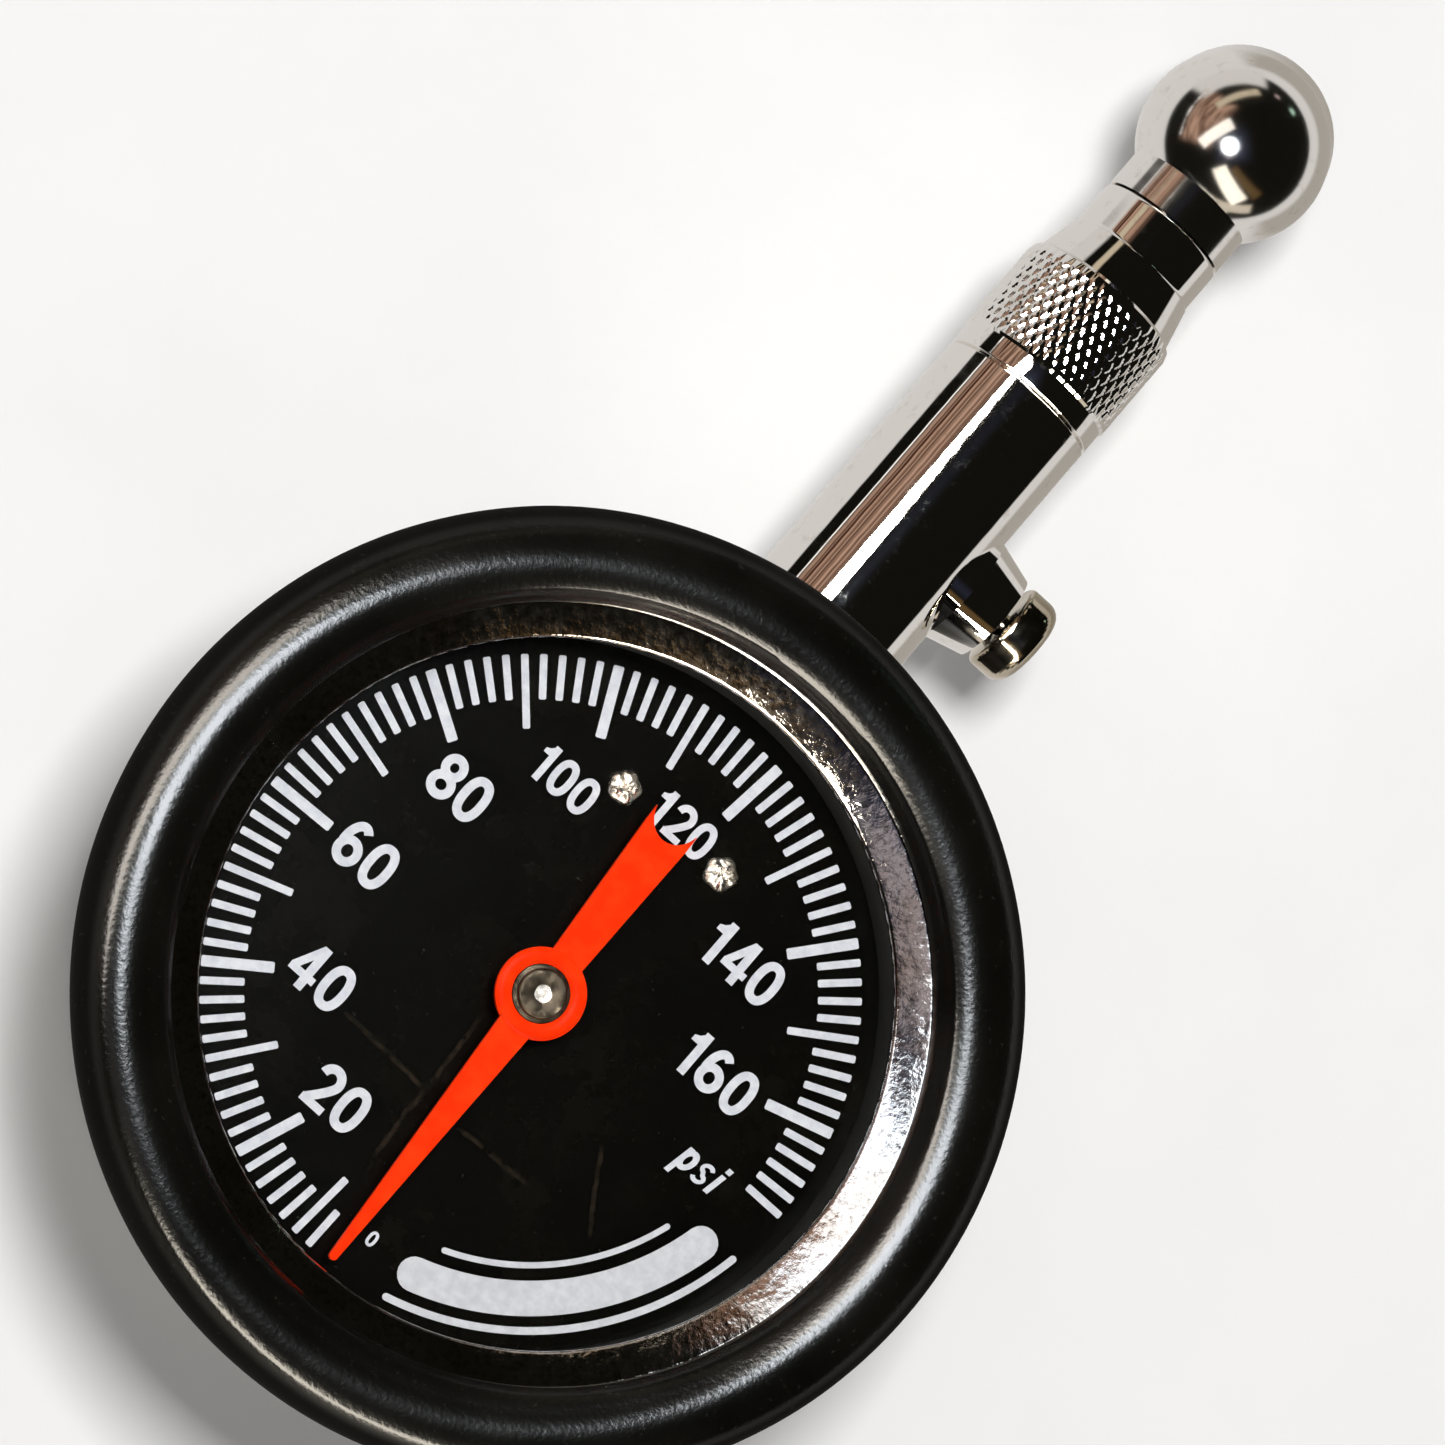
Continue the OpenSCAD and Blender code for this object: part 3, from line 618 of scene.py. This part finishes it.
def dial_point(r, turn):
    """A point on the dial, with the turn in degrees clockwise from the bottom of the scale."""
    a = math.radians(turn)
    return -r * math.sin(a), -r * math.cos(a)


def tick(psi):
    """One mark of the scale, with its corners cut a little."""
    inner = TICK_IN_R if psi % 10 or psi == 170 else LONG_TICK_IN_R
    half = (TICK_W if psi % 20 else MAIN_TICK_W) / 2
    a = math.radians(ZERO_DEG + PSI_DEG * psi)
    out = Vector((-math.sin(a), -math.cos(a)))
    side = Vector((-out.y, out.x))
    nick = 0.08
    corners = [(inner, half - nick), (inner + nick, half)]
    corners += [(TICK_OUT_R - nick, half), (TICK_OUT_R, half - nick)]
    ring = corners + [(r, -w) for r, w in corners[::-1]]
    return [tuple(out * r + side * w) for r, w in ring]


def stroke(path, width, closed=False):
    """Quads along a line of even width."""
    count = len(path)
    sides = []
    for i, p in enumerate(path):
        before = path[(i - 1) % count] if closed or i else path[0]
        after = path[(i + 1) % count] if closed or i < count - 1 else path[-1]
        ahead = Vector((after[0] - before[0], after[1] - before[1])).normalized()
        across = Vector((-ahead.y, ahead.x)) * width / 2
        sides.append((tuple(Vector(p) + across), tuple(Vector(p) - across)))
    pairs = zip(sides, sides[1:] + sides[:1] if closed else sides[1:])
    return [[here[0], there[0], there[1], here[1]] for here, there in pairs]


# The letters are drawn in a frame whose height is 1. WEIGHT is the width of their strokes.
WEIGHT = 0.185
GLYPH_W = 0.61


def ring_stroke(cx, cy, rx, ry):
    return stroke(arc(cx, cy, rx, ry, 0, 360, 36)[:-1], WEIGHT, closed=True)


def box_2d(x0, y0, x1, y1):
    return [(x0, y0), (x1, y0), (x1, y1), (x0, y1)]


def glyph_0():
    x, y = 0.305, 0.5
    rx, ry = x - WEIGHT / 2, y - WEIGHT / 2
    path = []
    for i in range(40):
        a = TAU * i / 40
        c, s = math.cos(a), math.sin(a)
        path.append((x + rx * math.copysign(abs(c) ** 0.84, c), y + ry * math.copysign(abs(s) ** 0.84, s)))
    return stroke(path, WEIGHT, closed=True)


def glyph_1():
    flag = [(0.09, 0.68), (0.30, 0.68), (0.30, 1.0), (0.27, 0.93), (0.20, 0.85), (0.09, 0.80)]
    return [box_2d(0.27, 0, 0.27 + WEIGHT, 1), flag]


def glyph_2():
    top = arc(0.305, 0.69, 0.205, 0.2175, 175, -30, 22)
    tail = curve(top[-1], (0.40, 0.42), (0.13, 0.12), 10)
    return stroke(top + tail, WEIGHT) + [box_2d(0.03, 0, 0.59, WEIGHT * 0.92)]


def glyph_4():
    upright = box_2d(0.33, 0, 0.33 + WEIGHT, 1)
    bar = box_2d(0.0, 0.215, 0.62, 0.215 + WEIGHT * 0.85)
    slope = [(0.0, 0.36), (0.0, 0.25), (0.17, 0.34), (0.37, 0.72), (0.37, 1.0), (0.33, 1.0)]
    return [upright, bar, slope]


def glyph_6():
    back = arc(0.305, 0.5, 0.2125, 0.4075, 190, 52, 22)
    return ring_stroke(0.305, 0.32, 0.2125, 0.2275) + stroke(back, WEIGHT)


def glyph_8():
    return ring_stroke(0.305, 0.715, 0.185, 0.1925) + ring_stroke(0.305, 0.295, 0.2125, 0.2025)


def glyph_p():
    return [box_2d(0.02, -0.28, 0.02 + WEIGHT, 0.72)] + ring_stroke(0.30, 0.36, 0.185, 0.2675)


def glyph_s():
    top = arc(0.27, 0.535, 0.165, 0.125, 15, 255, 14)
    low = arc(0.27, 0.185, 0.175, 0.125, 75, -165, 14)
    return stroke(top + low, WEIGHT * 0.7)


def glyph_i():
    return [box_2d(0.05, 0, 0.05 + WEIGHT, 0.72), box_2d(0.05, 0.82, 0.05 + WEIGHT, 1.0)]


GLYPHS = {
    "0": (glyph_0, GLYPH_W), "1": (glyph_1, 0.52), "2": (glyph_2, GLYPH_W), "4": (glyph_4, 0.63),
    "6": (glyph_6, GLYPH_W), "8": (glyph_8, GLYPH_W), "p": (glyph_p, 0.58), "s": (glyph_s, 0.54),
    "i": (glyph_i, 0.27),
}
GLYPH_GAP = 0.07


def lettering(text, centre, height, slant=0.0, widen=1.0):
    """Each letter's polygons, for a short text centred at a point with its top towards the stem."""
    total = sum(GLYPHS[c][1] + GLYPH_GAP for c in text) - GLYPH_GAP
    letters, x = [], -total / 2
    for c in text:
        draw, width = GLYPHS[c]
        letters.append([[
            (centre[0] + height * widen * (x + px + slant * (py - 0.5)), centre[1] + height * (py - 0.5))
            for px, py in polygon
        ] for polygon in draw()])
        x += width + GLYPH_GAP
    return letters


# Each number's text, the place of its middle, and its height, in millimetres.
SCALE_LETTERING = [
    ("20", (-5.2, -13.6), 3.3), ("40", (-11.2, -8.4), 3.3), ("60", (-14.2, -0.6), 3.3),
    ("80", (-12.4, 6.8), 3.3), ("100", (-7.6, 11.8), 2.65), ("120", (0.2, 14.8), 2.65),
    ("140", (9.15, 10.7), 3.2), ("160", (12.6, 4.2), 3.2), ("0", (2.5, -18.9), 1.1),
]


def ring_band(inner, outer, start, end):
    """A band with round ends between two turns of the dial."""
    middle, width = (inner + outer) / 2, outer - inner
    count = 48
    path = [dial_point(middle, start + (end - start) * i / count) for i in range(count + 1)]
    caps = [[(p[0] + x, p[1] + y) for x, y in arc(0, 0, width / 2, width / 2, 0, 360, 20)[:-1]]
            for p in (path[0], path[-1])]
    return stroke(path, width) + caps


def add_print(name, shapes, material):
    """One printed layer. Each shape is a list of polygons that may overlap."""
    solid = joined([flat_solid(polygons, DIAL_Z, DIAL_Z + INK_T) for polygons in shapes])
    make_piece(name, solid, "gauge", "dial_black", look=material)


def add_dial_print():
    add_print("dial_ticks", [[tick(psi)] for psi in range(8, 171, 2)], WHITE_INK)
    numerals = [letter for row in SCALE_LETTERING for letter in lettering(*row)]
    add_print("dial_numerals", numerals, WHITE_INK)
    add_print("dial_unit", lettering("psi", (16.0, -1.0), 2.25, slant=0.22, widen=0.95), WHITE_INK)
    arcs = ((18.6, 20.9, 284, 342), (21.6, 22.1, 281, 345), (17.4, 17.8, 288, 338))
    add_print("dial_arc", [ring_band(*row) for row in arcs], GREY_INK)


# ---- Pointer, its bush and the two staked posts ----

POINTER_REST = math.radians(-87.7)
HUB_R = 3.05
HOLE_R = 1.95


def turn_about_z(verts, angle):
    c, s = math.cos(angle), math.sin(angle)
    return [(c * x - s * y, s * x + c * y, z) for x, y, z in verts]


def soften(piece, width, segments):
    """Rounds a piece's sharp edges."""
    bevel = piece.modifiers.new("soften", "BEVEL")
    bevel.width = width * MM
    bevel.segments = segments
    bevel.limit_method = "ANGLE"
    bevel.angle_limit = math.radians(50)
    bpy.context.view_layer.objects.active = piece
    bpy.ops.object.modifier_apply(modifier=bevel.name)


def add_pointer():
    """Flat needle with a raised ring round its hub and a hollow end to its tail."""
    low, high = POINTER_LOW.z, POINTER_HIGH.z
    tip_half, root_half = 0.3, 1.2
    tail_r, tail_end = 13.2, 1.7
    start_r = 2.6
    hub_r, hub_w = (HUB_R + HOLE_R) / 2, HUB_R - HOLE_R
    tip = arc(POINTER_TIP_R - tip_half, 0, tip_half, tip_half, -90, 90, 8)
    needle = [(start_r, -root_half)] + tip + [(start_r, root_half)]
    hollow = arc(-tail_r - 1.6, 0, 2.0, tail_end * 1.02, 78, -78, 12)
    tail = [(-start_r, -root_half), (-start_r, root_half), (-tail_r, tail_end)]
    tail += hollow + [(-tail_r, -tail_end)]
    hub = stroke(arc(0, 0, hub_r, hub_r, 0, 360, 96)[:-1], hub_w, closed=True)
    verts, faces = flat_solid([needle, tail] + hub, low, high)
    solid = turn_about_z(verts, POINTER_REST), faces
    soften(make_piece("needle", solid, "needle", "pointer_paint", ["pointer"]), 0.07, 2)
    rim = arc(hub_r, high - 0.12, hub_w / 2, 0.26, 0, 180, 14)
    make_piece("needle_hub_ring", revolve(rim, 96), "needle", "pointer_paint")


def add_bush():
    """Turned bush with a dimple, where the arbor's end shows."""
    top, foot = BUSH_HIGH.z, POINTER_HIGH.z
    points = [(0, top - 0.42), (0.4, top - 0.42), (0.48, top - 0.14), (0.62, top - 0.1), (1.2, top - 0.03)]
    points += arc(1.47, top - 0.2, 0.18, 0.18, 90, 0, 6)
    points += [(1.65, foot + 0.12), (1.9, foot + 0.06), (1.92, BUSH_LOW.z), (0, BUSH_LOW.z)]
    verts, faces = revolve(points, 72)
    rough = []
    for v in verts:
        r = math.hypot(v[0], v[1])
        lift = 0.05 * noise.noise(Vector(v) * 2.1) if 0.45 < r < 1.5 and v[2] > top - 0.3 else 0
        rough.append((v[0], v[1], v[2] + lift))
    look = MATERIALS["bush_steel"]
    make_piece("needle_bush", (rough, faces), "needle", "screw_steel", ["pointer_bush"], look)
    end = [(0, top - 0.12), (0.2, top - 0.14), (0.34, top - 0.24), (0.38, top - 0.6), (0, top - 0.6)]
    make_piece("arbor_end", revolve(end, 32), "needle", "brass")


def add_dial_rivets():
    """The two posts that hold the dial, staked over into rough lobed heads."""
    head_r = (SCREW_HIGH.y - SCREW_LOW.y) / 2
    centre_y = (SCREW_HIGH.y + SCREW_LOW.y) / 2
    centre_x = SCREW_HIGH.x - head_r
    foot_z = DIAL_Z - 0.02
    rings, steps = 14, 72
    dome_h, fold_h, crease_h, dimple_h, cut_h = 0.62, 0.17, 0.07, 0.22, 0.14
    random.seed(7)
    verts, faces = [], []
    for side in (-1, 1):
        turn = random.uniform(0, TAU)
        rows = []
        for i in range(rings + 1):
            share = i / rings
            row = []
            for j in range(steps):
                a = TAU * j / steps
                lobes = 0.5 + 0.5 * math.cos(5 * (a + turn))
                r = head_r * share * (0.86 + 0.14 * lobes * share)
                spot = Vector((r * math.cos(a) * 2.2 + side * 9, r * math.sin(a) * 2.2, turn))
                dome = dome_h * math.sqrt(max(0.0, 1 - share ** 2.4))
                folds = fold_h * noise.noise(spot) + crease_h * noise.noise(spot * 2.7)
                dimple = -dimple_h * math.exp(-(share / 0.3) ** 2)
                cuts = -cut_h * (1 - lobes) * math.sin(math.pi * share)
                row.append(len(verts))
                z = DIAL_Z + max(0.0, dome + folds * (1 - share ** 6) + dimple + cuts)
                verts.append((side * centre_x + r * math.cos(a), centre_y + r * math.sin(a), z))
                if i == 0:
                    break
            rows.append(row)
        foot = list(range(len(verts), len(verts) + steps))
        verts += [(verts[k][0], verts[k][1], foot_z) for k in rows[-1]]
        base = [len(verts)]
        verts.append((side * centre_x, centre_y, foot_z))
        faces += bridge(rows + [foot, base], closed=False)
    make_piece("dial_rivets", (verts, faces), "gauge", "screw_steel", ["dial_screws"], sharp=60)


# ---- Collar ----

KNURLS = 44
KNURL_SPLIT = 8
KNURL_DEPTH = 0.11
KNURL_FADE = 0.5
HELIX = math.radians(30)


def knurl_depth(turn, along, pitch_along):
    """How deep the crossed grooves are at a point, from 0 on a pad to 1 at the bottom of a groove."""
    deepest = 0.0
    for sign in (-1, 1):
        t = (turn * KNURLS + sign * along / pitch_along) % 1.0
        groove = 1 - abs(t - 0.5) * 2
        deepest = max(deepest, (groove - 0.45) / 0.55)
    return deepest


def add_collar():
    """Collar with a real crossed knurl, a cone and a nose."""
    start, end = COLLAR_LOW.y, COLLAR_HIGH.y
    nose_r, bore_r, bore_long, plug_r = 4.65, 3.3, 8.6, 4.1
    edge, nose_edge = 0.16, 0.3
    band_from, band_to = start + 1.6, start + 8.6
    cone_to = start + 11.7
    pitch_along = TAU * KNURL_R / KNURLS / math.tan(HELIX)
    row_step = pitch_along / KNURL_SPLIT
    rows = int((band_to - band_from - KNURL_FADE) / row_step)
    outline = [(plug_r, start), (TUBE_R - edge, start)]
    outline += arc(TUBE_R - edge, start + edge, edge, edge, -90, 0, 5)[1:] + [(TUBE_R, band_from - 0.05)]
    knurl = [(KNURL_R, band_from + 0.15 + row_step * i) for i in range(rows + 1)]
    cone_end = (nose_r + 0.12, cone_to - 0.1)
    rest = [(TUBE_R, band_to), (TUBE_R - 0.3, band_to + 0.25), cone_end]
    rest += curve(cone_end, (nose_r, cone_to), (nose_r, cone_to + 0.2), 4) + [(nose_r, end - nose_edge)]
    rest += arc(nose_r - nose_edge, end - nose_edge, nose_edge, nose_edge, 0, 90, 7)[1:]
    rest += [(bore_r, end), (bore_r, end - bore_long), (plug_r, end - bore_long)]
    steps = KNURLS * KNURL_SPLIT
    verts, rings = [], []
    for r, y in outline + knurl + rest:
        ring = []
        fade = min(1.0, (y - band_from) / KNURL_FADE, (band_to - y) / KNURL_FADE) if (r, y) in knurl else 0.0
        for i in range(steps):
            depth = KNURL_DEPTH * fade * knurl_depth(i / steps, y - band_from, pitch_along)
            a = TAU * i / steps
            ring.append(len(verts))
            verts.append(((r - depth) * math.cos(a), (r - depth) * math.sin(a), y))
        rings.append(ring)
    solid = along_stem(verts, 0), bridge(rings, closed=True)
    make_piece("collar", solid, "gauge", "stem_chrome", ["knurled_collar"], sharp=28)


# ---- Light, floor and camera ----

SUBJECT = Vector((0.0, 0.03, 0.015))
# The key lamp's direction from the subject.
KEY_WAY = Vector((-0.148, 0.109, 0.98))


def aim(obj, place, towards, along):
    """Puts a lamp at a place, facing a point, with its long side along a direction."""
    back = (place - towards).normalized()
    long_side = (along - back * along.dot(back)).normalized()
    turn = Matrix((long_side.cross(back), long_side, back)).transposed()
    obj.matrix_world = Matrix.Translation(place) @ turn.to_4x4()


def lamp(name, place, along, width, length, radiance, tint, shape="RECTANGLE"):
    """An area lamp of even radiance that the camera doesn't see."""
    light = bpy.data.lights.new(name, "AREA")
    light.shape = shape
    light.size, light.size_y = width, length
    light.energy = radiance * math.pi * width * (length if shape == "RECTANGLE" else width * math.pi / 4)
    light.color = tint
    obj = bpy.data.objects.new(name, light)
    bpy.context.scene.collection.objects.link(obj)
    aim(obj, place, SUBJECT, Vector(along))
    obj.visible_camera = False
    return obj


def gloss_lamp(*args):
    """A lamp that only shows in gloss."""
    obj = lamp(*args)
    obj.visible_diffuse = False
    obj.visible_transmission = False


def way(azimuth, elevation):
    """A direction, from angles in degrees."""
    a, e = math.radians(azimuth), math.radians(elevation)
    return Vector((math.cos(e) * math.cos(a), math.cos(e) * math.sin(a), math.sin(e)))


def strip_lamp(name, start, end, width, radiance, tint):
    """A long lamp between two places, in millimetres."""
    a, b = Vector(start) * MM, Vector(end) * MM
    gloss_lamp(name, (a + b) / 2, b - a, width, (b - a).length, radiance, tint)


def add_lights():
    """Three lamps that draw the highlights, and a key lamp that lights everything without gloss."""
    cream, warm, cool, neutral = (1.0, 0.93, 0.84), (1.0, 0.92, 0.78), (0.90, 0.95, 1.0), (1.0, 0.99, 0.97)
    along = (0, 1, 0)
    strip_lamp("strip_lamp", (-278, -170, 281), (-205, 136, 398), 0.107, 24.0, cream)
    strip_lamp("window", (-60, -545, 704), (602, -572, 308), 0.27, 27.0, warm)
    gloss_lamp("near_lamp", Vector((-46, 18, 218)) * MM, along, 0.085, 0.085, 38.0, cool, "DISK")
    key = lamp("soft_key", SUBJECT + KEY_WAY * 0.9, along, 0.22, 0.22, 47.0, neutral)
    key.visible_glossy = False


def light_rule(light, piece, state):
    """Has a lamp leave one piece out, or light it alone."""
    pieces = light.light_linking.receiver_collection or bpy.data.collections.new(light.name + "_rule")
    pieces.objects.link(piece)
    pieces.collection_objects[-1].light_linking.link_state = state
    light.light_linking.receiver_collection = pieces


def turn_down(lamps, piece, share, tint=None):
    """Gives one piece dimmer copies of some gloss lamps, so that its plating doesn't burn out."""
    for name in lamps:
        bright = bpy.data.objects[name]
        dim = bright.copy()
        dim.name, dim.data = name + "_on_" + piece.name, bright.data.copy()
        dim.light_linking.receiver_collection = None
        dim.data.energy *= share
        if tint:
            dim.data.color = tint
        bpy.context.scene.collection.objects.link(dim)
        light_rule(bright, piece, "EXCLUDE")
        light_rule(dim, piece, "INCLUDE")


# What the camera sees past the floor, and what lights matt surfaces.
PALE = colour(0.905, 0.905, 0.91)
AMBIENT = colour(0.11, 0.11, 0.112)


def patch(g, at, start, end, wide, soft):
    """A mask that is 1 in a band of the sky between two directions, and fades at its edges."""
    a, b = way(*start), way(*end)
    middle = (a + b).normalized()
    side = (b - a).normalized()
    across = middle.cross(side)
    masks = []
    for axis, half in ((side, (b - a).length / 2), (across, wide)):
        reach = g.math("ABSOLUTE", g.dot(at, axis))
        masks.append(g.remap(reach, half + soft, half, smooth=True))
    front = g.math("GREATER_THAN", g.dot(at, middle), 0.0)
    return g.math("MULTIPLY", g.math("MULTIPLY", masks[0], masks[1]), front)


def add_world():
    """Pale and soft for everything but gloss, which sees a dark room over a white table."""
    world = bpy.data.worlds.new("studio")
    world.cycles.sampling_method = "NONE"
    bpy.context.scene.world = world
    g = Graph(world)
    at = g.node("ShaderNodeTexCoord", out="Generated")
    x, y, z = g.axes(at)
    streaks = g.noise(g.vector(0.0, g.math("MULTIPLY", y, 1.1), g.math("MULTIPLY", z, 8.0)), 1.7, 3.0, 0.6)
    clouds = g.noise(at, 6.0, 4.0, 0.6)
    wall = g.mix(g.remap(streaks, 0.40, 0.60), colour(0.065, 0.026, 0.014), colour(0.50, 0.31, 0.22))
    spots = g.mix(g.remap(clouds, 0.40, 0.55), colour(0.05, 0.035, 0.025), colour(1.1, 1.05, 1.0))
    seen = colour(0.006, 0.0055, 0.004)
    # Each patch of the room: its two ends, its half width, its soft edge, and its colour.
    layers = [
        (((-150, 72), (-108, 72), 0.10, 0.35), colour(0.030, 0.034, 0.060)),
        (((158, 30), (-148, 30), 0.26, 0.16), wall),
        (((-150, -12), (-125, -12), 0.17, 0.05), colour(0.006, 0.005, 0.004)),
        (((112, 24), (162, 33), 0.04, 0.06), colour(0.55, 0.46, 0.33)),
        (((-70, 56), (-30, 26), 0.04, 0.10), colour(0.11, 0.065, 0.025)),
        (((-146, 62), (-104, 68), 0.05, 0.10), colour(0.38, 0.33, 0.33)),
        (((158, 9), (-150, 9), 0.012, 0.012), spots),
        (((-92, 8), (-36, 8), 0.08, 0.05), colour(0.62, 0.54, 0.43)),
        (((71, 16), (75, 16), 0.03, 0.03), colour(0.50, 0.75, 0.58)),
        (((90, 17), (94, 17), 0.02, 0.02), colour(0.50, 0.38, 0.36)),
    ]
    for (start, end, wide, soft), tint in layers:
        seen = g.mix(patch(g, at, start, end, wide, soft), seen, tint)
    slope = g.dot(at, Vector((-0.09, -0.12, 1.0)))
    shaded = g.math("MULTIPLY", g.remap(g.math("ADD", x, y), 0.35, 0.6), g.remap(z, -0.22, -0.32))
    table = g.mix(shaded, colour(0.68, 0.655, 0.63), colour(0.40, 0.37, 0.33))
    seen = g.mix(g.remap(slope, -0.07, -0.13, smooth=True), seen, table)
    seen = g.mix(patch(g, at, (108, 2), (162, 2), 0.17, 0.10), seen, colour(0.64, 0.61, 0.58))
    ray = g.node("ShaderNodeLightPath").node
    lit = g.mix(ray.outputs["Is Diffuse Ray"], seen, AMBIENT)
    shown = g.mix(ray.outputs["Is Camera Ray"], lit, PALE)
    backdrop = g.node("ShaderNodeBackground", {"Color": shown, "Strength": 1.0})
    g.node("ShaderNodeOutputWorld", {"Surface": backdrop})


def add_floor():
    """A plain pale table top, which gloss sees as the world's white table instead."""
    material = bpy.data.materials.new("pale_floor")
    g = Graph(material)
    grain = g.noise(g.place(), 60.0, 5.0)
    g.surface(
        Base_Color=g.mix(g.remap(grain, 0.3, 0.7), colour(0.80, 0.80, 0.805), colour(0.83, 0.83, 0.835)),
        Roughness=0.9,
        Emission_Color=colour(1, 1, 1),
        Emission_Strength=0.105,
    )
    half = 4.0
    mesh = bpy.data.meshes.new("floor")
    corners = [(-half, -half, 0), (half, -half, 0), (half, half, 0), (-half, half, 0)]
    mesh.from_pydata(corners, [], [(0, 1, 2, 3)])
    mesh.materials.append(material)
    floor = bpy.data.objects.new("floor", mesh)
    floor.visible_glossy = False
    bpy.context.scene.collection.objects.link(floor)


# What the camera looks at, the way back to it, its distance, and the turn of the picture's top.
VIEW_TARGET = Vector((-2.1, 21.6, 19.0)) * MM
VIEW_BACK = Vector((-0.1683, -0.1661, 0.9716)).normalized()
VIEW_DISTANCE = 845.5 * MM
VIEW_UP_TURN = math.radians(131.4)
LENS_MM = 323.9
SENSOR_MM = 36.0


def add_camera():
    """Nearly square to the dial, from its lower left, with the stem towards the upper right."""
    camera = bpy.data.cameras.new("camera")
    camera.lens = LENS_MM
    camera.sensor_width = SENSOR_MM
    camera.clip_start, camera.clip_end = 0.01, 20.0
    obj = bpy.data.objects.new("camera", camera)
    bpy.context.scene.collection.objects.link(obj)
    up_hint = Vector((math.cos(VIEW_UP_TURN), math.sin(VIEW_UP_TURN), 0.0))
    right = up_hint.cross(VIEW_BACK).normalized()
    up = VIEW_BACK.cross(right)
    place = VIEW_TARGET + VIEW_BACK * VIEW_DISTANCE
    turn = Matrix((right, up, VIEW_BACK)).transposed()
    obj.matrix_world = Matrix.Translation(place) @ turn.to_4x4()
    bpy.context.scene.camera = obj


bpy.context.scene.view_settings.view_transform = "Standard"
add_camera()
add_world()
add_lights()
add_floor()
paint_nodes()
add_boot()
turn_down(("strip_lamp", "near_lamp"), add_bezel(), 0.085, (0.88, 0.95, 1.0))
turn_down(("strip_lamp", "window", "near_lamp"), frame["nodes"]["chuck_body"], 0.05)
add_dial_print()
add_pointer()
add_bush()
add_dial_rivets()
add_collar()
